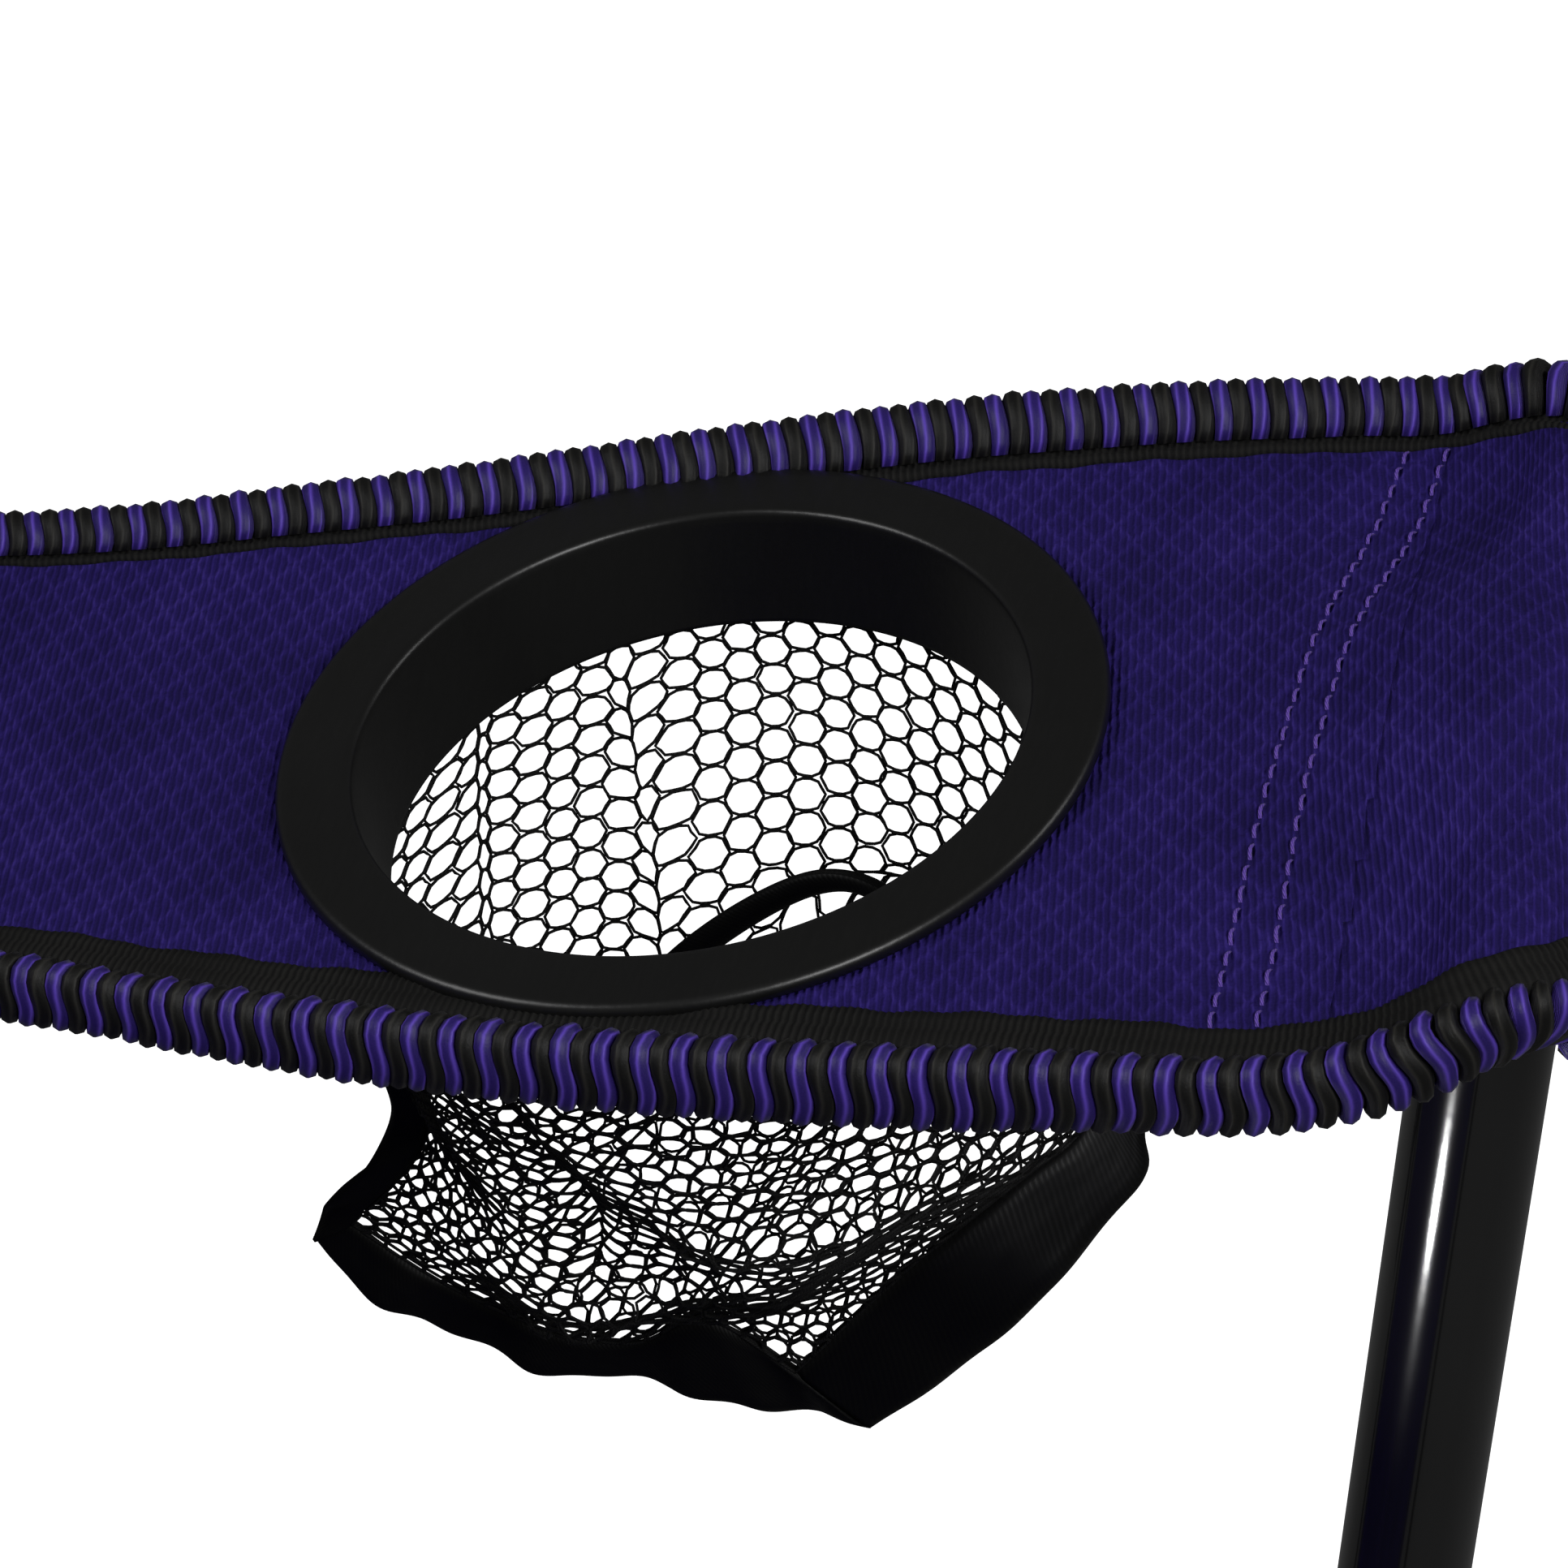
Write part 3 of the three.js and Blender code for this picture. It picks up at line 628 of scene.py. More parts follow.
def arm_point(i, w, lift=0.0):
    """A point w across from station i of the middle line, lift above the cloth's top face."""
    i = np.asarray(i, float)
    middle, lateral, up = (rows_at(i, np.arange(len(ARM)), a) for a in (ARM_MIDDLE, LATERAL, ARM_UP))
    w = np.asarray(w, float)[..., None]
    raised = (lift + cloth_lift(middle[..., 1], w[..., 0]))[..., None]
    return middle + lateral * w + up * raised


def make_arm_cloth(side, name, with_hole):
    """The armrest's cloth, in two pieces that meet at the second row of stitches."""
    rows, cols = len(ARM), 121
    i = np.arange(rows)[:, None] + np.zeros((1, cols))
    across = np.linspace(-1, 1, cols)[None, :]
    w = np.where(across < 0, across * IN_WIDTH[:, None], across * OUT_WIDTH[:, None])
    uv = np.stack([ARM_S[:, None] + 0 * w, w], axis=-1)
    top, under = arm_point(i, w), arm_point(i, w, -CLOTH_THICK)

    def strip_faces(centres):
        flat = centres - RING_C
        outside = np.hypot(flat @ RING_U, flat @ RING_V) > (HOLE_R if with_hole else 0.0)
        return outside & (centres[:, 1] >= HOOD_END_Y)

    pieces = []
    for part, keep in (("hood", lambda c: c[:, 1] < HOOD_END_Y), ("cloth", strip_faces)):
        shell = Shell()
        add_cloth(shell, top, under, uv, keep)
        pieces.append(shell.build(f"{name}_arm_{part}", [CLOTH], mirror=side < 0))
    return pieces


# Sections of the binding, as (outwards, up) from the edge of the cloth. On the inner edge it hangs down.
HANGING = np.array([(5.1, 0.5), (6.5, 0.9), (7.5, 0.4), (8.0, -0.9), (8.2, -2.6), (8.1, -4.4),
                    (7.9, -5.9), (7.3, -7.0), (6.2, -7.3), (5.2, -6.5)])
LYING = np.array([(3.8, 0.9), (5.0, 2.7), (6.6, 4.1), (8.2, 4.7), (9.5, 4.2), (10.2, 2.9),
                  (10.3, 1.2), (9.9, -0.6), (8.9, -1.9), (7.6, -2.4)])


class Edge:
    """A bound edge: its line, and the outward and upward directions along it."""

    def __init__(self, points, up, hang, size, step=0.5):
        s = arc_length(points)
        count = int(s[-1] / step) + 1
        t = np.linspace(0, s[-1], count)

        def along(a):
            a = np.asarray(a, float)
            return np.interp(t, s, a) if a.ndim == 1 else rows_at(t, s, a)

        self.s, self.p = t, along(points)
        self.up, self.hang, self.size = unit(along(up)), along(hang), along(size)
        window = max(3, int(4 / step) | 1)
        for k in range(3):
            self.p[:, k] = smoothed(self.p[:, k], window)
        self.t = unit(np.gradient(self.p, axis=0))
        self.out = unit(np.cross(self.up, self.t))
        self.up = unit(np.cross(self.t, self.out))

    def at(self, s, array):
        return rows_at(s, self.s, array)

    def section(self, s):
        """The binding's section at distance s, as points in the chair's frame."""
        hang = np.interp(s, self.s, self.hang)
        size = np.interp(s, self.s, self.size)
        shape = size * (hang * HANGING + (1 - hang) * LYING)
        p, out, up = self.at(s, self.p), self.at(s, self.out), self.at(s, self.up)
        return p + shape[:, :1] * out + shape[:, 1:] * up


def add_ribs(shell, edge, sides=8, wanted=None):
    """Rounded ribs of yarn over the edge, black and violet in turn, each slightly bent."""
    for k in range(int(edge.s[-1] / RIB_PITCH)):
        s = (k + 0.5) * RIB_PITCH
        path = edge.section(s)
        if wanted is not None and not wanted(edge.at(s, edge.p)):
            continue
        t = edge.at(s, edge.t)
        path = resample(path, 13)
        n = len(path)
        down = np.linspace(0, 1, n)
        lean = 2.3 * down * float(np.interp(s, edge.s, edge.hang))
        bend = lean + 0.62 * np.sin(2.5 * math.pi * down + 0.4) + RANDOM.normal(0, 0.06)
        lift = RANDOM.normal(0, 0.10)
        path = path + t * bend[:, None]
        run = unit(np.gradient(path, axis=0))
        up = unit(np.cross(run, t))
        path = path + up * lift
        swell = (np.sin(np.linspace(0.2, math.pi - 0.2, n))**0.15)[:, None, None]
        section = circle(0.5 * RIB_PITCH * 1.2, sides)[None] * (1, 0.95) * swell
        points = path[:, None] + t * section[:, :, :1] + up[:, None] * section[:, :, 1:]
        around = np.linspace(0, 2 * math.pi * 1.2, sides)
        uv = grid(arc_length(path) + 3.7 * k, around)
        shell.add(points, [lattice(n, sides, wrap_cols=True)] + end_caps(n, sides), k % 2, uv)


def add_band(shell, edge, step, mark, wanted=None):
    """The ribbed tape on top of the edge, and the folded tape under the ribs."""
    s = np.arange(0, edge.s[-1], step)
    p, out, up = edge.at(s, edge.p), edge.at(s, edge.out), edge.at(s, edge.up)
    hang = np.interp(s, edge.s, edge.hang)[:, None]
    size = np.interp(s, edge.s, edge.size)[:, None]
    lie = 1 - hang
    ridge = 0.24 * np.abs(np.sin(math.pi * s / 0.98))[:, None]
    wander = 0.22 * np.sin(s / 3.1)[:, None] + 0.14 * np.sin(s / 1.17)[:, None]
    low_wide = BAND_WIDTH * (0.55 + 0.45 * hang)
    start = 4.8 - low_wide
    columns = [
        (start + 0.3 + wander, -0.6), (start + wander, 0.25), (start + 0.35 + wander, 0.55 + ridge),
        (start + 0.3 * low_wide, 0.72 + ridge), (start + 0.47 * low_wide, 0.60 + 0.3 * ridge),
        (start + 0.62 * low_wide, 0.75 + ridge), (start + 0.9 * low_wide, 0.70 + ridge),
        (5.6, 0.3 + 0.5 * ridge + lie * 1.9), (7.0, -0.4 + lie * 3.6),
        (7.2 + lie * 1.6, -3.0 * hang - 0.4 + lie * 2.4), (7.0, -5.6 * hang - 0.8), (6.0, -6.0 * hang - 1.4),
        (4.6, -5.4 * hang - 1.6), (4.2, -3.0 * hang - 1.8), (2.0, -2.2), (start + 0.4, -1.9)]
    points = np.stack([p + size * (a * out + b * up) for a, b in columns], axis=1)
    rows, cols = len(s), len(columns)
    uv = grid(s, np.linspace(0, 24, cols))
    faces = lattice(rows, cols, wrap_cols=True)
    if wanted is not None:
        flat = points.reshape(-1, 3)
        faces = faces[wanted(flat[faces].mean(axis=1))]
    shell.add(points, faces, mark, uv)


def arm_edge():
    """One line round the armrest: the outer edge to the front, the hem, and the inner edge back."""
    n = len(ARM)
    outer = [(i, OUT_WIDTH[i] - 4.4, 0.0) for i in range(n - 1, 3, -1)]
    hem = [(2, w, 1.0) for w in np.linspace(OUT_WIDTH[0] - 10, -IN_WIDTH[0] + 10, 24)]
    inner = [(i, -IN_WIDTH[i] + 4.4, 1.0) for i in range(4, n)]
    stations = np.array(outer + hem + inner)
    points = arm_point(stations[:, 0], stations[:, 1], 0.0)
    up = rows_at(stations[:, 0], np.arange(n), ARM_UP)
    hang = smoothed(stations[:, 2], 21)
    y = points[:, 1]
    near = 1.0 + 0.20 * smoothstep(-y, 75, 135) - 0.17 * smoothstep(-y, 185, 235)
    far = 0.74 + 0.40 * smoothstep(-y, 20, 170) - 0.12 * smoothstep(-y, 200, 250)
    size = np.where(stations[:, 2] > 0.5, near, far)
    return Edge(points, up, hang, smoothed(size, 21), step=0.5)


def in_hood(points):
    return np.asarray(points)[..., 1] < HOOD_END_Y


def behind_hood(points):
    return ~in_hood(points)


def make_arm_binding(side, name):
    edge = arm_edge()
    pieces = []
    for part, wanted in (("hood_binding", in_hood), ("binding", behind_hood)):
        shell = Shell()
        add_ribs(shell, edge, wanted=wanted)
        add_band(shell, edge, 0.245, 2, wanted)
        pieces.append(shell.build(f"{name}_arm_{part}", BINDING, mirror=side < 0))
    return pieces


def add_stitches(shell, path, up, length=2.5, gap=1.0, radius=0.28):
    """A row of separate stitches along a line on the cloth."""
    s = arc_length(path)
    for start in np.arange(0.5, s[-1] - length, length + gap):
        t = np.linspace(start, start + length, 7)
        line, top = rows_at(t, s, path), unit(rows_at(t, s, up))
        line = line + top * (0.55 * np.sin(np.linspace(0, math.pi, 7)) - 0.18)[:, None]
        side = unit(np.cross(unit(np.gradient(line, axis=0)), top))
        add_tube(shell, line, side, top, circle(radius, 6, 0.8), 0, 1.8)


def make_arm_stitches(side, name):
    """Two curved rows across the cloth, just behind the front post."""
    w = np.linspace(-53, 58, 160)
    pieces = []
    for part, row in (("front_stitches", 1), ("rear_stitches", 0)):
        u = stitch_rows(w)[row] - (0.9 if row else 0.0)
        y = -u * math.cos(PITCH) - HALF + RING_FROM_POST
        index = np.interp(y, ARM[ARM_TOP_AT:, 0], np.arange(ARM_TOP_AT, len(ARM)))
        path = arm_point(index, w, 0.12)
        shell = Shell()
        add_stitches(shell, path, rows_at(index, np.arange(len(ARM)), ARM_UP))
        pieces.append(shell.build(f"{name}_arm_{part}", [STITCH], mirror=side < 0))
    return pieces


def make_arm(side):
    name = "left" if side > 0 else "right"
    hood, strip = make_arm_cloth(side, name, side > 0)
    hood_binding, binding = make_arm_binding(side, name)
    front_stitches, rear_stitches = make_arm_stitches(side, name)
    for piece in (hood, hood_binding):
        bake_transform(piece)
    for piece in (strip, binding):
        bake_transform(piece)
    for piece in (front_stitches, rear_stitches):
        finish_piece(piece, f"{name}_arm_front", "arm_fabric")
    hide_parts(f"{name}_arm_front", f"{name}_arm_back")


# ---- cup ring and pocket


def make_cup_ring():
    """The moulded ring with its collar, and the ribbed ring that locks it from below."""
    axes = (RING_U, RING_V, RING_N)
    lip = [(41.5, -17.0), (41.56, -16.4), (42.98, -1.8), (43.1, -0.75), (43.35, -0.28), (43.8, -0.05),
           (44.4, 0.0), (46.0, -0.06), (50.8, -0.06), (51.9, -0.03), (52.5, -0.22), (52.9, -0.7),
           (53.0, -1.2), (52.95, -1.9), (52.6, -2.3)]
    under = [(46.2, -2.3), (45.0, -2.9), (44.7, -4.5), (44.6, -5.3), (43.2, -16.2), (43.1, -17.0),
             (42.3, -17.4)]
    shell = Shell()
    add_round(shell, lip + under, 192, RING_C, axes)
    ring = shell.build("cup_holder_ring", [RING_PLASTIC])
    finish_piece(ring, "left_arm_front", "cup_plastic", "cup_ring")
    lock = Shell()
    section = [(45.1, -10.4), (52.0, -10.4), (52.0, -8.6), (49.0, -5.0), (45.1, -4.4)]
    add_round(lock, rounded(section, 0.7), 128, RING_C, axes)
    reach = np.array([45.6, 47, 50, 51.2])[:, None]
    drop = np.array([5.0, 5.4, 7.2, 8.4])[:, None]
    for k in range(24):
        a = k * 2 * math.pi / 24
        spoke = math.cos(a) * RING_U + math.sin(a) * RING_V
        path = RING_C + spoke * reach - RING_N * drop
        add_tube(lock, path, np.cross(RING_N, spoke), RING_N, circle(0.8, 6))
    lock_ring = lock.build("cup_holder_lock_ring", [RING_PLASTIC])
    finish_piece(lock_ring, "left_arm_front", "cup_plastic", "cup_lock_ring")


# The pocket's outlines in the ring frame's (u, n), at v = 0: the net inside the tape, and the tape's rim.
NET_LEFT = [(-46.6, -12), (-50, -30), (-49.5, -48), (-48, -62), (-50, -72), (-56, -80), (-64, -88)]
NET_BOTTOM = [(-64, -88), (-52, -100), (-39, -108), (-28, -110), (-17, -105), (-6, -115)]
NET_RIGHT = [(46.6, -12), (49, -32), (47, -52), (41, -68), (30, -79), (11, -97), (-6, -115)]
RIM_LEFT = [(-51, -14), (-56, -32), (-56, -50), (-54, -62), (-55, -70), (-59, -76), (-66, -83), (-71, -92)]
RIM_BOTTOM = [(-71, -92), (-60, -106), (-41, -116), (-24, -119), (-8, -124), (3, -125.5)]
RIM_RIGHT = [(51, -14), (54, -34), (52, -54), (49, -69), (48, -77), (41, -87), (22, -110), (3, -125.5)]
POCKET_CREASES = [  # from (across, down) to (across, down), width, depth: shares of the flat net
    ((0.20, 0.02), (0.13, 0.62), 0.040, 5.0), ((0.34, 0.05), (0.40, 0.75), 0.022, -3.0),
    ((0.45, 0.42), (0.86, 0.40), 0.030, 4.0), ((0.62, 0.55), (0.30, 0.95), 0.035, 3.5)]


def pocket_sheet(s, t, layer):
    """A point of the net, s across and t down as shares; layer is +1 on the outer side, -1 on the inner."""
    bulge = 0.0
    for (a0, a1), (b0, b1), wide, deep in POCKET_CREASES:
        steep = abs(b1 - a1) > 0.1
        along = np.clip((t - a1) / (b1 - a1) if steep else (s - a0) / (b0 - a0), 0, 1)
        line_s, line_t = a0 + along * (b0 - a0), a1 + along * (b1 - a1)
        off = (s - line_s) if steep else (t - line_t)
        ends = smoothstep(along, 0.0, 0.15) * (1 - smoothstep(along, 0.85, 1.0))
        near = np.exp(-(off / wide)**2) * ends
        bulge = bulge + deep * near * layer
        if steep:
            s = s - 0.72 * off * near
        else:
            t = t - 0.72 * off * near
    s, t = np.clip(s, 0, 1), np.clip(t, 0, 1)

    def curve(points, x):
        return rows_at(x, np.linspace(0, 1, 200), spline(points, 200))

    mouth = np.stack([-46.6 * np.cos(math.pi * s), np.full_like(s, -12.0)], axis=-1)
    left, right, bottom = curve(NET_LEFT, t), curve(NET_RIGHT, t), curve(NET_BOTTOM, s)
    s1, t1 = s[..., None], t[..., None]
    c00, c10 = np.array(NET_LEFT[0]), np.array(NET_RIGHT[0])
    c01, c11 = np.array(NET_BOTTOM[0]), np.array(NET_BOTTOM[-1])
    flat = ((1 - t1) * mouth + t1 * bottom + (1 - s1) * left + s1 * right
            - ((1 - s1) * (1 - t1) * c00 + s1 * (1 - t1) * c10 + (1 - s1) * t1 * c01 + s1 * t1 * c11))
    open_ = 46.6 * np.sin(math.pi * np.clip(s, 0, 1))
    v = layer * (open_ * (1 - 0.62 * smoothstep(t, 0.0, 0.85)) * (1 - smoothstep(t, 0.75, 1.0)) + 0.4)
    middle = np.sin(math.pi * s)
    slack = smoothstep(t, 0.1, 0.5) * (1 - smoothstep(t, 0.93, 1.0)) * middle
    waves = 2.4 * np.sin(9.0 * s + 4 * t * layer) + 1.5 * np.sin(17 * s - 9 * t + layer)
    v = v + slack * waves + bulge * middle
    return np.stack([flat[..., 0], v, flat[..., 1]], axis=-1)


def pocket_normal(s, t, layer, step=0.004):
    """The net's normal, from its slopes across and down."""
    high_s, low_s = np.clip(s + step, 0, 1), np.clip(s - step, 0, 1)
    high_t, low_t = np.clip(t + step, 0, 1), np.clip(t - step, 0, 1)
    across = pocket_sheet(high_s, t, layer) - pocket_sheet(low_s, t, layer)
    down = pocket_sheet(s, high_t, layer) - pocket_sheet(s, low_t, layer)
    return unit(np.cross(across, down))


def make_pocket_net():
    """Two layers of knitted net, each a honeycomb of thin loops of yarn."""
    shell = Shell()
    wide_top, wide_bottom, depth, sides = 132.0, 76.0, 104.0, 5
    angle = np.arange(14) * 2 * math.pi / 14
    reach = 0.5 * NET_PITCH * (0.985 + 0.055 * np.cos(6 * angle))
    ring = np.stack([reach * np.cos(angle), reach * np.sin(angle)], axis=1)
    column = NET_PITCH * 0.866
    columns, rows = int(wide_top / column) + 1, int(depth / NET_PITCH) + 1
    cells = np.array([(i * column, (j + 0.5 * (i % 2)) * NET_PITCH)
                      for i in range(columns) for j in range(rows)])
    for layer in (1, -1):
        centres = cells + RANDOM.normal(0, 0.06, (len(cells), 2))
        loops = centres[:, None] + ring[None] + RANDOM.normal(0, 0.045, (len(cells), len(ring), 2))
        t = np.clip(loops[..., 1] / depth, 0, 1)
        s = 0.5 + (loops[..., 0] - 0.5 * wide_top) / (wide_top + (wide_bottom - wide_top) * t)
        inside = ((s > 0) & (s < 1)).any(axis=1)
        s, t = np.clip(s[inside], 0, 1), t[inside]
        count = len(s)
        normal = pocket_normal(s, t, layer)
        p = pocket_sheet(s, t, layer) + normal * RANDOM.uniform(-0.12, 0.12, (count, 1, 1))
        run = unit(np.roll(p, -1, axis=1) - np.roll(p, 1, axis=1))
        side = unit(np.cross(run, normal))
        yarn = circle(0.23, sides)[None, None]
        points = p[:, :, None] + side[:, :, None] * yarn[..., :1] + normal[:, :, None] * yarn[..., 1:]
        block = lattice(len(ring), sides, wrap_rows=True, wrap_cols=True)
        offsets = (np.arange(count) * len(ring) * sides)[:, None, None]
        uv = grid(np.arange(len(ring)) * 0.9, np.linspace(0, 1.0, sides))
        shell.add(from_ring(points), (block[None] + offsets).reshape(-1, 4), 0,
                  np.broadcast_to(uv[None], (count, *uv.shape)))
    return shell.build("cup_pocket_net", [NET], closed=False)


def add_tape(shell, inner, outer, wave, phase, thick=1.0):
    """A folded tape between two lines in the ring frame's (u, n), rippled across."""
    rows, cols = 120, 11
    a, b = spline(inner, rows), spline(outer, rows)
    s = np.linspace(0, 1, rows)
    across = np.concatenate([np.linspace(0, 1, cols), np.linspace(1, 0, cols)])
    face = np.concatenate([np.ones(cols), -np.ones(cols)])
    soft = np.sqrt(np.clip(1 - np.abs(2 * across - 1)**6, 0, 1))
    flat = a[:, None] * (1 - across)[None, :, None] + b[:, None] * across[None, :, None]
    ripple = wave * np.sin(s * 21 + phase)[:, None] * (0.3 + across)[None]
    ripple = ripple + 0.5 * wave * np.sin(s * 47 + 2 * phase)[:, None] * across[None]
    v = ripple + (face * soft * thick * 0.5)[None]
    flat = flat + 0.25 * wave * np.sin(s * 33 + phase)[:, None, None] * across[None, :, None]
    points = from_ring(np.stack([flat[..., 0], v, flat[..., 1]], axis=-1))
    shell.add(points, [lattice(rows, 2 * cols, wrap_cols=True)] + end_caps(rows, 2 * cols), 0,
              grid(s * 80, across * 8))


def make_pocket():
    """The net, and the tape along its three sewn edges with a fold of it inside."""
    net = make_pocket_net()
    shell = Shell()
    add_tape(shell, NET_LEFT, RIM_LEFT, 1.1, 0.4, 2.2)
    add_tape(shell, NET_BOTTOM, RIM_BOTTOM, 0.9, 1.7, 1.8)
    add_tape(shell, NET_RIGHT, RIM_RIGHT, 0.5, 2.9, 1.6)
    fold = spline([(-24, 12, -62), (-12, 16, -52), (0, 17, -44), (9, 16, -40), (16, 14, -41),
                   (20, 12, -47)], 60)
    run = unit(np.gradient(fold, axis=0))
    across = unit(np.cross(run, (0.3, 0.8, 0.5)))
    side = unit(np.cross(run, across))
    axes = [from_ring(d) - RING_C for d in (across, side)]
    add_tube(shell, from_ring(fold), axes[0], axes[1], circle(2.3, 14, 0.6), 0, 8)
    tape = shell.build("cup_pocket_tape", [SATIN])
    for piece in (net, tape):
        finish_piece(piece, "left_arm_front", "pocket_mesh")
        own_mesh(piece)
    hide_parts("cup_pocket")


# ---- frame

CORNERS = {"front_left": (1, -1), "front_right": (-1, -1), "back_left": (1, 1), "back_right": (-1, 1)}
FACES = {  # outward normal, the outer tube's foot corner, the inner tube's foot corner
    "left": ((1, 0, 0), "back_left", "front_left"),
    "right": ((-1, 0, 0), "front_right", "back_right"),
    "front": ((0, -1, 0), "front_left", "front_right"),
    "back": ((0, 1, 0), "back_right", "back_left"),
}


def corner_point(corner, z):
    side, end = CORNERS[corner]
    return np.array([side * HALF, end * HALF, z])


def add_bead(shell, corner, z, inner, outer, half):
    """A raised ring round a post's fitting."""
    profile = [(inner, z - half), (outer, z - half), (outer, z + half), (inner, z + half)]
    add_round(shell, rounded(profile, 0.5), 64, corner_point(corner, 0))


def along_face(face, corner):
    _, a, b = FACES[face]
    other = b if corner == a else a
    return unit(corner_point(other, 0) - corner_point(corner, 0))


def pivot(face, corner, z, layer):
    normal = np.array(FACES[face][0], float)
    return corner_point(corner, z) + along_face(face, corner) * PIVOT_INSET + normal * layer * CROSS_OFFSET


def make_post(corner):
    top = FRONT_TOP if CORNERS[corner][1] < 0 else BACK_TOP
    foot = corner_point(corner, 0)
    shell = Shell()
    wall = [(7.8, 8.5), (POST_R, 8.5), (POST_R, top), (7.8, top)]
    add_round(shell, rounded(wall, 0.35), 64, foot)
    finish_piece(shell.build(f"{corner}_tube", [PAINT]), corner, "frame_paint", f"{corner}_post")
    cap = Shell()
    profile = [(0.01, top - 16), (7.4, top - 16), (7.5, top + 0.3), (10.5, top + 0.3), (10.5, top + 4.4),
               (9.4, top + 7.2), (6.4, top + 9.3), (0.01, top + 10)]
    add_round(cap, rounded(profile, 1.2), 48, foot)
    cap = cap.build(f"{corner}_tube_cap", [FITTING_PLASTIC])
    finish_piece(cap, corner, "fitting_plastic", f"{corner}_post_cap")


def add_lug(shell, face, corner, z, layer):
    """A lug from the post to its pivot: a rounded plate with a hole and a raised rim."""
    along, normal = along_face(face, corner), np.array(FACES[face][0], float)
    start = corner_point(corner, z) + normal * layer * 3.2
    a = np.linspace(-math.pi / 2, math.pi / 2, 15)
    nose = np.stack([26 + 9.5 * np.cos(a), 9.5 * np.sin(a)], axis=1)
    outline = np.vstack([[(10.5, -9.5)], nose, [(10.5, 9.5)]])
    outline = resample(np.vstack([outline, outline[:1]]), 49)[:-1]
    centre = np.array([26.0, 0.0])
    spokes = unit(outline - centre)
    hole = centre + spokes * 3.3
    rings = [(hole, -2.5), (hole, 2.5), (centre + spokes * 5.2, 2.5)]
    inset = outline - spokes * 0.9
    rings += [(inset, 2.5), (outline, 1.7), (outline, -1.7), (inset, -2.5)]
    points = np.stack([start + r[:, :1] * along + r[:, 1:] * UP + d * normal for r, d in rings])
    shell.add(points, lattice(len(rings), len(outline), wrap_rows=True, wrap_cols=True))


def lugs_at(corner, at_sleeve):
    for face, (_, outer_foot, inner_foot) in FACES.items():
        if corner in (outer_foot, inner_foot):
            yield face, -1 if (outer_foot == corner) == at_sleeve else 1


def make_foot(corner):
    shell = Shell()
    profile = [(9.3, 8.2), (9.3, 54), (13, 54), (13, 12), (14.5, 9.5), (19, 6.4), (20, 4.6), (20, 1.4),
               (18.6, 0.0), (0.01, 0.0), (0.01, 8.2)]
    add_round(shell, rounded(profile, 1.0), 64, corner_point(corner, 0))
    for z in (50.5, 15.5):
        add_bead(shell, corner, z, 12.8, 13.7, 1.2)
    for face, layer in lugs_at(corner, False):
        add_lug(shell, face, corner, FOOT_PIVOT_Z, layer)
    shoe = shell.build(f"{corner}_shoe", [FITTING_PLASTIC])
    finish_piece(shoe, corner, "fitting_plastic", f"{corner}_foot")


def make_sleeve(corner):
    """The sliding sleeve, with a lug for each cross tube and a tongue that holds the seat's corner."""
    side, end = CORNERS[corner]
    low, high = SLEEVE_PIVOT_Z - 20, SLEEVE_PIVOT_Z + 20
    shell = Shell()
    wall = [(9.5, low), (13, low), (13, high), (9.5, high)]
    add_round(shell, rounded(wall, 1.0), 64, corner_point(corner, 0))
    for z in (low + 3.5, high - 3.5):
        add_bead(shell, corner, z, 12.8, 13.8, 1.3)
    for face, layer in lugs_at(corner, True):
        add_lug(shell, face, corner, SLEEVE_PIVOT_Z, layer)
    inward = unit(np.array([-side, -end, 0.0]))
    across = np.cross(UP, inward)
    section = rounded([(-7.5, -2), (7.5, -2), (7.5, 2), (-7.5, 2)], 0.9)
    flat = section[:, :1] * across + section[:, 1:] * UP
    reach = np.array([11, 20, 30, 36, 37.4])[:, None]
    taper = np.array([1, 1, 1, 0.96, 0.8])[:, None, None]
    path = corner_point(corner, high - 6) + reach * inward
    rows, cols = len(path), len(section)
    shell.add(path[:, None] + taper * flat, [lattice(rows, cols, wrap_cols=True)] + end_caps(rows, cols))
    slider = shell.build(f"{corner}_slider", [FITTING_PLASTIC])
    finish_piece(slider, f"{corner}_sleeve", "fitting_plastic", f"{corner}_sleeve")


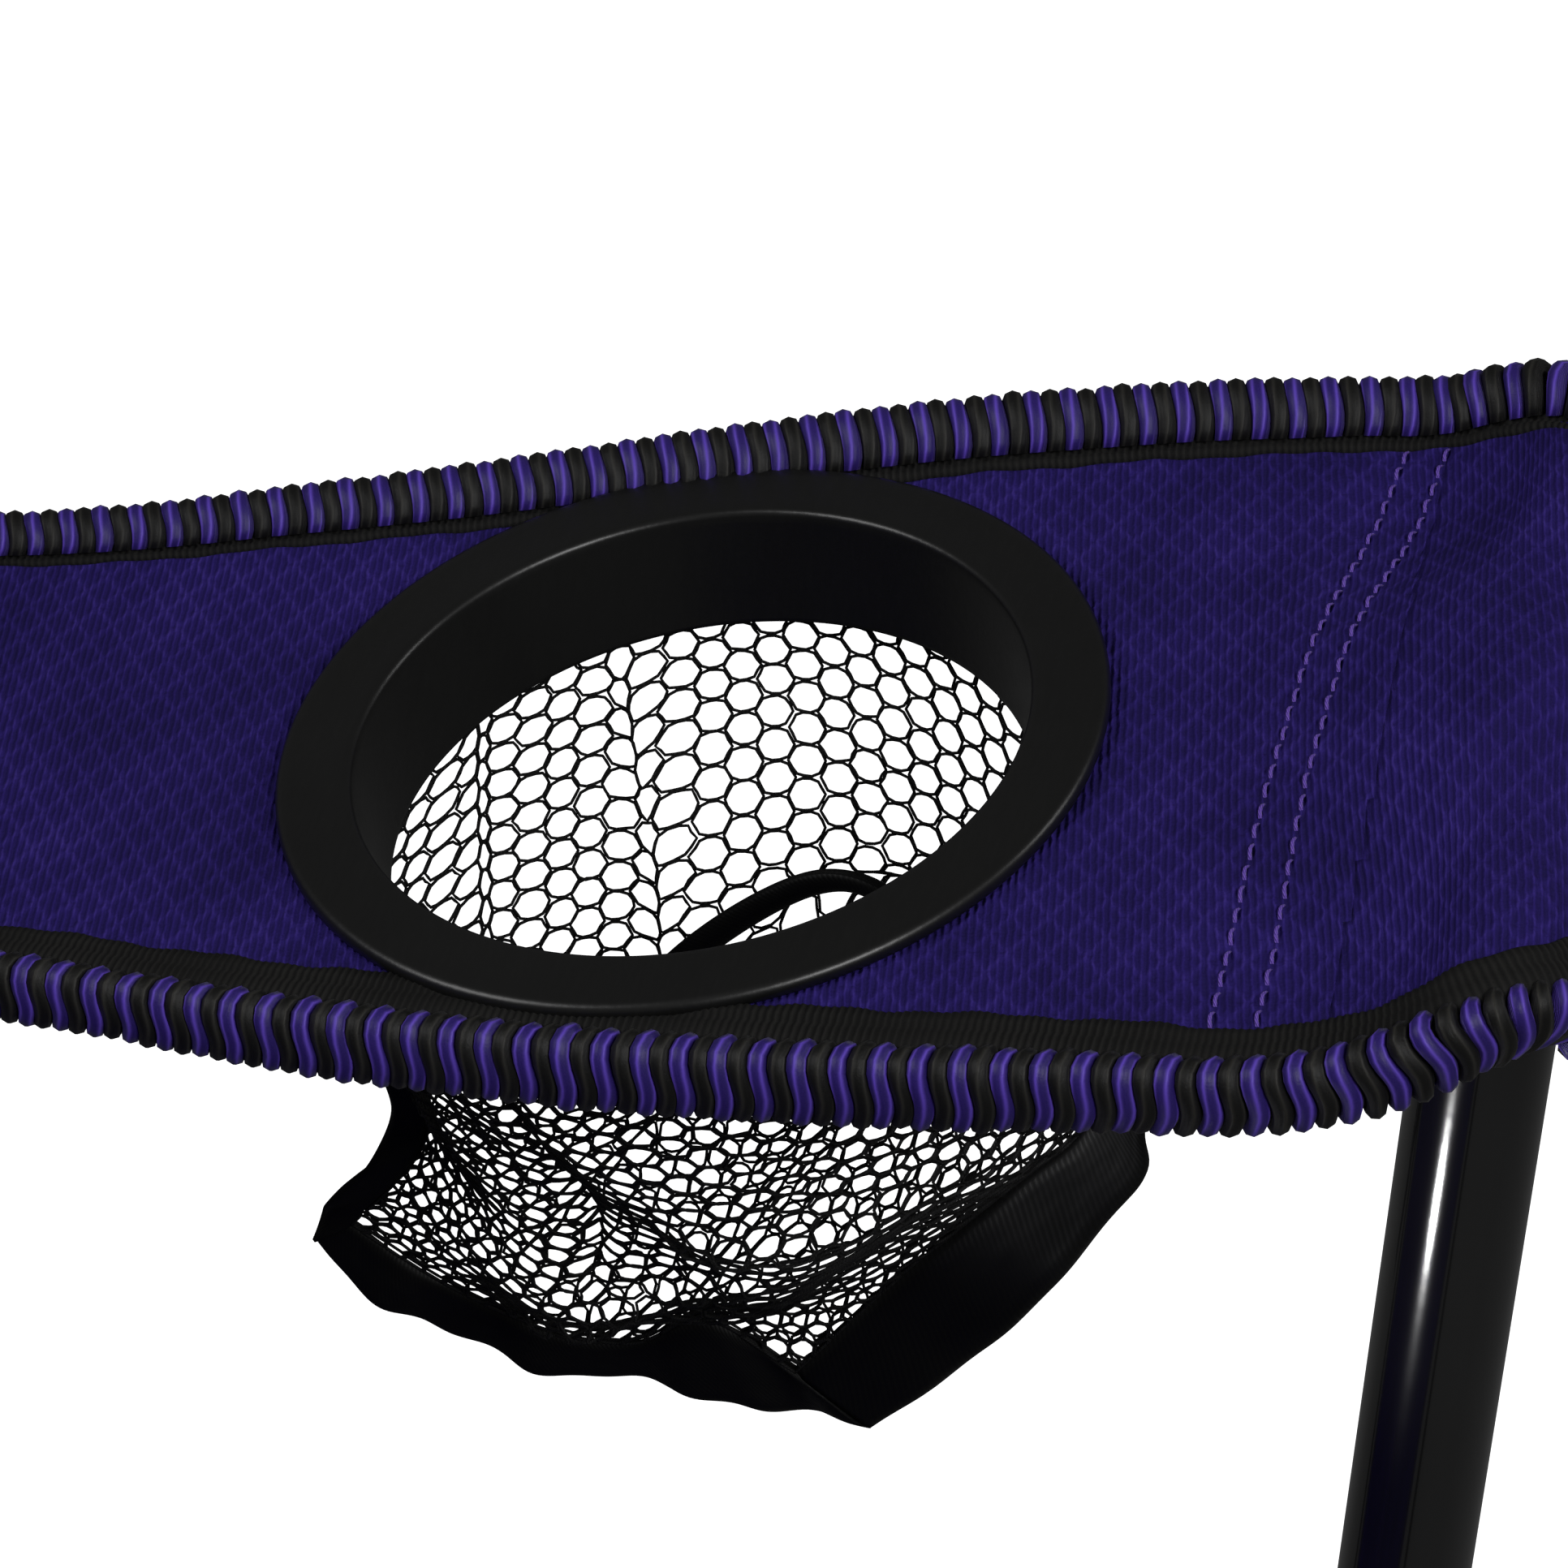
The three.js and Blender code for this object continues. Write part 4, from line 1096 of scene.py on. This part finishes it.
def make_cross_tube(face, layer):
    """A round tube, pressed flat at both ends, with a rounded end about each pivot."""
    normal, outer_foot, inner_foot = FACES[face]
    normal = np.array(normal, float)
    foot, top = (outer_foot, inner_foot) if layer > 0 else (inner_foot, outer_foot)
    low, high = pivot(face, foot, FOOT_PIVOT_Z, layer), pivot(face, top, SLEEVE_PIVOT_Z, layer)
    length = float(np.linalg.norm(high - low))
    along = unit(high - low)
    wide_axis = np.cross(normal, along)
    ends = np.concatenate([np.linspace(-9.2, 0, 10), np.linspace(2, 34, 17)])
    s = np.concatenate([ends, np.linspace(44, length - 44, 12), (length - ends)[::-1]])
    from_pivot = np.minimum(s, length - s)
    round_ = smoothstep(from_pivot, 9, 33)
    wide = 9.2 * (1 - round_) + 7.0 * round_
    thin = 2.3 * (1 - round_) + 7.0 * round_
    tip = np.clip(-from_pivot / 9.2, 0, 1)
    wide = wide * np.sqrt(np.clip(1 - tip**2, 0.02, 1))
    thin = thin * (1 - 0.25 * smoothstep(tip, 0.8, 1.0))
    rows, cols = len(s), 28
    a = np.arange(cols) * 2 * math.pi / cols
    power = 1 - 0.55 * (1 - round_)[:, None]
    x = np.sign(np.cos(a)) * np.abs(np.cos(a))**power * wide[:, None]
    y = np.sign(np.sin(a)) * np.abs(np.sin(a))**power * thin[:, None]
    points = low + s[:, None, None] * along + x[..., None] * wide_axis + y[..., None] * normal
    shell = Shell()
    shell.add(points, [lattice(rows, cols, wrap_cols=True)] + end_caps(rows, cols))
    name = f"{face}_{'outer' if layer > 0 else 'inner'}"
    finish_piece(shell.build(f"{name}_brace", [PAINT]), name, "frame_paint", f"{name}_cross_tube")


def rivet_profile(start, end, collar=None):
    """A shank with a domed head at each end."""
    head = [(0.01, start - 2.0), (2.6, start - 1.9), (4.8, start - 1.1), (5.5, start - 0.3),
            (3.0, start - 0.3)]
    tail = [(3.0, end + 0.3), (5.5, end + 0.3), (4.8, end + 1.1), (2.6, end + 1.9), (0.01, end + 2.0)]
    middle = [(3.0, -collar), (7.0, -collar), (7.0, collar), (3.0, collar)] if collar else []
    return rounded(head + middle + tail, 0.3, 3)


def make_rivet(name, centre, axis, profile, body):
    axis = unit(axis)
    x = unit(np.cross(axis, [0.3, 0.2, 1.0]))
    shell = Shell()
    add_round(shell, profile, 32, centre, (x, np.cross(axis, x), axis))
    finish_piece(shell.build(f"{name}_head", [STEEL]), body, "rivet_steel", name)


def body_of_node(node):
    for body, nodes in frame["record"]["behaviour"]["bodies"].items():
        if node in nodes:
            return body


def make_rivets():
    shank, long_shank = rivet_profile(0.7, 10.9), rivet_profile(-15.6, 15.6, 1.3)
    for face, (normal, outer_foot, inner_foot) in FACES.items():
        normal = np.array(normal, float)
        for corner in (outer_foot, inner_foot):
            for where, z, at_sleeve in (("foot", FOOT_PIVOT_Z, False), ("sleeve", SLEEVE_PIVOT_Z, True)):
                layer = -1 if (outer_foot == corner) == at_sleeve else 1
                name = f"{face}_{corner}_{where}_rivet"
                make_rivet(name, pivot(face, corner, z, 0), normal * layer, shank, body_of_node(name))
        centre = (pivot(face, outer_foot, FOOT_PIVOT_Z, 0) + pivot(face, inner_foot, SLEEVE_PIVOT_Z, 0)) / 2
        name = f"{face}_crossing_rivet"
        make_rivet(name, centre, normal, long_shank, body_of_node(name))


# ---- seat, backrest and armrest straps


def add_bound_edge(shell, line, up, hang, size, outwards):
    """A binding along a line, on its outward side."""
    count = len(line)
    shape = (np.tile(np.asarray(up, float), (count, 1)), np.full(count, hang), np.full(count, size))
    edge = Edge(line, *shape, step=0.8)
    if edge.out[len(edge.out) // 2] @ outwards < 0:
        edge = Edge(line[::-1], *shape, step=0.8)
    add_ribs(shell, edge, sides=6)
    add_band(shell, edge, 0.49, 2)


def make_seat_gore(name, turn):
    """A quarter of the seat, from its bound outer edge to the middle."""
    c, s = math.cos(turn), math.sin(turn)

    def world(p):
        p = np.asarray(p, float)
        return np.stack([p[..., 0] * c - p[..., 1] * s, p[..., 0] * s + p[..., 1] * c, p[..., 2]], axis=-1)

    def surface(a, w, drop=0.0):
        """a goes from 0 at the edge to 1 at the middle, w from -1 to 1 across."""
        out = SEAT_EDGE + (3.0 - SEAT_EDGE) * a
        half = out - 0.3
        middle = np.cos(w * math.pi / 2)
        out = out - 7.0 * (1 - a) * middle
        z = SEAT_Z - SEAT_SAG * (6 * a**5 - 15 * a**4 + 10 * a**3) - 3.6 * middle * (1 - a)**2
        pucker = 0.55 * np.sin(a * 55 + 2 * w) * np.exp(-((1 - np.abs(w)) / 0.08)**2)
        swell = 0.8 * np.sin(9 * w + 3 * a) * np.sin(math.pi * a) * (1 - np.abs(w))
        return np.stack([w * half, -out, z + pucker * (1 - a) + swell - drop], axis=-1)

    a, w = np.meshgrid(np.linspace(0.006, 1, 150), np.linspace(-1, 1, 150), indexing="ij")
    uv = np.stack([a * SEAT_EDGE, w * (230 + (2.7 - 230) * a)], axis=-1)
    shell = Shell()
    add_cloth(shell, world(surface(a, w)), world(surface(a, w, CLOTH_THICK)), uv)
    cloth = shell.build(f"{name}_cloth", [CLOTH])

    line = surface(np.zeros(300), np.linspace(-0.985, 0.985, 300))
    line[:, 1] += 4.4
    trim = Shell()
    add_bound_edge(trim, world(line), UP, 0.8, 0.9, world([0, -1.0, 0]))
    binding = trim.build(f"{name}_binding", BINDING)

    seams = Shell()
    t = np.linspace(0.04, 0.97, 260)
    half = 229.5 + (2.2 - 229.5) * t
    for side in (-1, 1):
        for inset in (5.0, 10.5):
            wide = side * np.clip(1 - inset / half, 0, 1)
            add_stitches(seams, world(surface(t, wide, -0.1)), np.tile(UP, (260, 1)))
    stitches = seams.build(f"{name}_stitches", [STITCH])
    for piece in (cloth, binding, stitches):
        finish_piece(piece, name, "seat_fabric")
        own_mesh(piece)
    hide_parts(name)


def make_seat():
    for name, turn in (("seat_front", 0), ("seat_left", math.pi / 2), ("seat_back", math.pi),
                       ("seat_right", -math.pi / 2)):
        if name in ("seat_front", "seat_back"):
            make_seat_gore(name, turn)
        else:
            make_seat_gore(name, turn)


def back_point(w, z, depth=0.0):
    """The backrest's front face: w from -1 to 1 across, z up."""
    w, z = np.asarray(w, float), np.asarray(z, float)
    rise = smoothstep(z, BACK_BOTTOM_Z, BACK_POCKET_Z)
    y = 226 + 12 * rise + 1.6 * smoothstep(np.abs(w), 0.93, 1.0) * (z > BACK_POCKET_Z)
    low = np.interp(z, [BACK_BOTTOM_Z, 661, BACK_POCKET_Z], [224, 235, 239])
    half = np.where(z < BACK_POCKET_Z, low, 239.5)
    share = (z - BACK_BOTTOM_Z) / (BACK_TOP_Z - BACK_BOTTOM_Z)
    belly = 4.5 * np.cos(w * math.pi / 2) * np.sin(math.pi * share)
    folds = 0.7 * np.sin(w * 7 + z / 40) * np.sin(math.pi * share)
    tug = 0.6 * np.sin(z / 4.1) * np.exp(-((1 - np.abs(w)) / 0.05)**2)
    return np.stack([w * half, y + belly + folds + tug + depth, z + 0 * w], axis=-1)


def make_backrest():
    """The backrest's panel with its bound edges, and the pockets that hold it on the rear posts."""
    heights = np.linspace(BACK_BOTTOM_Z + 2, BACK_TOP_Z - 2, 170)
    z, w = np.meshgrid(heights, np.linspace(-1, 1, 190), indexing="ij")
    dip = -7.0 * np.cos(w * math.pi / 2) * smoothstep(z, 700, BACK_TOP_Z)
    shell = Shell()
    add_cloth(shell, back_point(w, z + dip), back_point(w, z + dip, CLOTH_THICK),
              np.stack([z, w * 238], axis=-1))
    panel = shell.build("backrest_panel", [CLOTH])

    trim = Shell()
    w = np.linspace(-0.99, 0.99, 300)
    top = back_point(w, BACK_TOP_Z - 6.5 - 7.0 * np.cos(w * math.pi / 2))
    bottom = back_point(w[::-1], np.full(300, BACK_BOTTOM_Z + 6.5))
    heights = np.linspace(BACK_BOTTOM_Z + 8, BACK_POCKET_Z - 4, 200)
    add_bound_edge(trim, top, -DEEP, 0.15, 0.85, UP)
    add_bound_edge(trim, bottom, -DEEP, 0.15, 0.85, -UP)
    for side in (-1, 1):
        line = back_point(np.full(200, side * 0.983), heights)
        add_bound_edge(trim, line[::side], -DEEP, 0.15, 0.7, np.array([side, 0, 0]))
    binding = trim.build("backrest_binding", BINDING)
    for piece in (panel, binding):
        finish_piece(piece, "back_left", "back_fabric")
        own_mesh(piece)
    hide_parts("backrest")
    make_back_pocket(1, "left")
    make_back_pocket(-1, "right")


def make_back_pocket(side, name):
    """The sewn tube of cloth that slips over a rear post, with a tape round each end."""
    heights = np.linspace(BACK_POCKET_Z, BACK_TOP_Z, 90)
    z, a = np.meshgrid(heights, np.linspace(0, 2 * math.pi, 72), indexing="ij")
    spoke = np.stack([np.cos(a), np.sin(a)], axis=-1)
    facing = np.clip(spoke @ np.array([-side * 0.80, -0.60]), 0, 1)
    radius = 11.2 + 4.2 * facing**8 + 0.25 * np.sin(5 * a + z / 9)
    radius = radius + 0.3 * np.sin(z / 6.5 + 2 * a) * (1 - facing)
    skins = [np.stack([side * HALF + r * spoke[..., 0], HALF + r * spoke[..., 1], z], axis=-1)
             for r in (radius, radius - 1.1)]
    shell = Shell()
    add_cloth(shell, *skins, np.stack([z, a * 11.5], axis=-1))
    cloth = shell.build(f"{name}_back_pocket", [CLOTH])
    trim = Shell()
    for z0 in (BACK_POCKET_Z, BACK_TOP_Z - 7):
        profile = rounded([(12.2, z0), (13.1, z0), (13.1, z0 + 7), (12.2, z0 + 7)], 0.4)
        add_round(trim, profile, 96, (side * HALF, HALF, 0))
    band = trim.build(f"{name}_back_pocket_tape", [GROSGRAIN])
    for piece, slot in ((cloth, "back_fabric"), (band, "binding_tape")):
        finish_piece(piece, f"back_{name}", slot)


def make_arm_loop(side):
    """The strap that ties the armrest's rear end round the back post, with its two bar tacks."""
    name = "left" if side > 0 else "right"
    a = np.linspace(0.36, 2 * math.pi - 0.36, 60)
    loop = np.stack([12.3 * np.sin(a), -12.3 * np.cos(a)], axis=1)
    tail = np.array([(1.2, -20.5), (1.3, -15.5)])
    flat = spline(np.vstack([tail * (-1, 1), loop[::-1][::6], tail[::-1]]), 90)
    line = np.stack([side * HALF + flat[:, 0], HALF + flat[:, 1], np.full(90, ARM_BACK_Z)], axis=1)
    across = np.cross(UP, unit(np.gradient(line, axis=0)))
    section = rounded([(-0.7, -14.5), (0.7, -14.5), (0.7, 14.5), (-0.7, 14.5)], 0.5)
    shell = Shell()
    add_tube(shell, line, across, UP, section, 0, 29)
    strap = shell.build(f"{name}_arm_loop", [GROSGRAIN])
    finish_piece(strap, f"back_{name}", "binding_tape", f"{name}_arm_anchor")
    bars = Shell()
    for z in (ARM_BACK_Z - 11.5, ARM_BACK_Z + 11.5):
        x = side * HALF + np.linspace(-2.3, 2.3, 9)
        path = np.stack([x, np.full(9, HALF - 18.0), np.full(9, z)], axis=1)
        add_tube(bars, path, DEEP, UP, circle(0.9, 8), 0, 3)
    tacks = bars.build(f"{name}_arm_loop_tacks", [STITCH])
    finish_piece(tacks, f"back_{name}", "arm_fabric")


# ---- stage, light and camera


def make_stage():
    mesh = bpy.data.meshes.new("floor")
    far = 14.0
    corners = [(x, y, 0) for x, y in ((-far, -far), (far, -far), (far, far), (-far, far))]
    mesh.from_pydata(corners, [], [(0, 1, 2, 3)])
    floor = bpy.data.objects.new("floor", mesh)
    bpy.context.scene.collection.objects.link(floor)
    mesh.materials.append(floor_look("pale_floor"))


def add_light(name, at, aim, size, power):
    light = bpy.data.lights.new(name, "AREA")
    light.shape = "RECTANGLE"
    light.size, light.size_y = size
    light.energy = power
    obj = bpy.data.objects.new(name, light)
    obj.visible_camera = False
    obj.location = at
    obj.rotation_euler = (Vector(aim) - Vector(at)).to_track_quat("-Z", "Y").to_euler()
    bpy.context.scene.collection.objects.link(obj)
    return obj


def make_lights():
    world = bpy.data.worlds.new("studio")
    world.use_nodes = True
    background = world.node_tree.nodes["Background"]
    background.inputs["Color"].default_value = (1, 1, 1, 1)
    background.inputs["Strength"].default_value = 0.07
    bpy.context.scene.world = world
    bpy.context.scene.view_settings.view_transform = "Standard"
    middle = (0.2, -0.1, 0.6)
    add_light("key", (-1.3, -1.3, 2.4), middle, (0.9, 0.9), 31)
    add_light("rear", (-0.5, 1.7, 2.1), middle, (1.0, 1.0), 19)
    add_light("front", (0.9, -1.9, 2.0), middle, (0.4, 0.9), 6)
    post = Vector((HALF * MM, -HALF * MM, 0.634))
    glint = add_light("post_glint", post + Vector((-0.62, 0.43, -0.60)) * 0.24, post, (0.026, 0.012), 0.016)
    glint.data.spread = math.radians(40)


def make_camera():
    """Above the sitter's lap, looking out and down at the left armrest's cup holder."""
    eye = from_ring((205.5, -564.8, 466.1)) * MM
    aim = from_ring((14.7, -11.9, 0.0)) * MM
    up = RING_U * 0.00533 + RING_V * 0.64567 + RING_N * 0.7636
    back = unit(eye - aim)
    right = unit(np.cross(up, back))
    data = bpy.data.cameras.new("camera")
    data.lens = 139.75
    data.sensor_width = 36.0
    data.clip_start = 0.05
    camera = bpy.data.objects.new("camera", data)
    turned = np.stack([right, np.cross(back, right), back], axis=1)
    camera.matrix_world = Matrix([[*row, at] for row, at in zip(turned, eye)] + [[0, 0, 0, 1]])
    bpy.context.scene.collection.objects.link(camera)
    bpy.context.scene.camera = camera


make_camera()
make_stage()
make_lights()
make_arm(1)
make_arm(-1)
make_cup_ring()
make_pocket()
for corner in CORNERS:
    make_post(corner)
    make_foot(corner)
    make_sleeve(corner)
for face in FACES:
    make_cross_tube(face, 1)
    make_cross_tube(face, -1)
make_rivets()
make_seat()
make_backrest()
make_arm_loop(1)
make_arm_loop(-1)
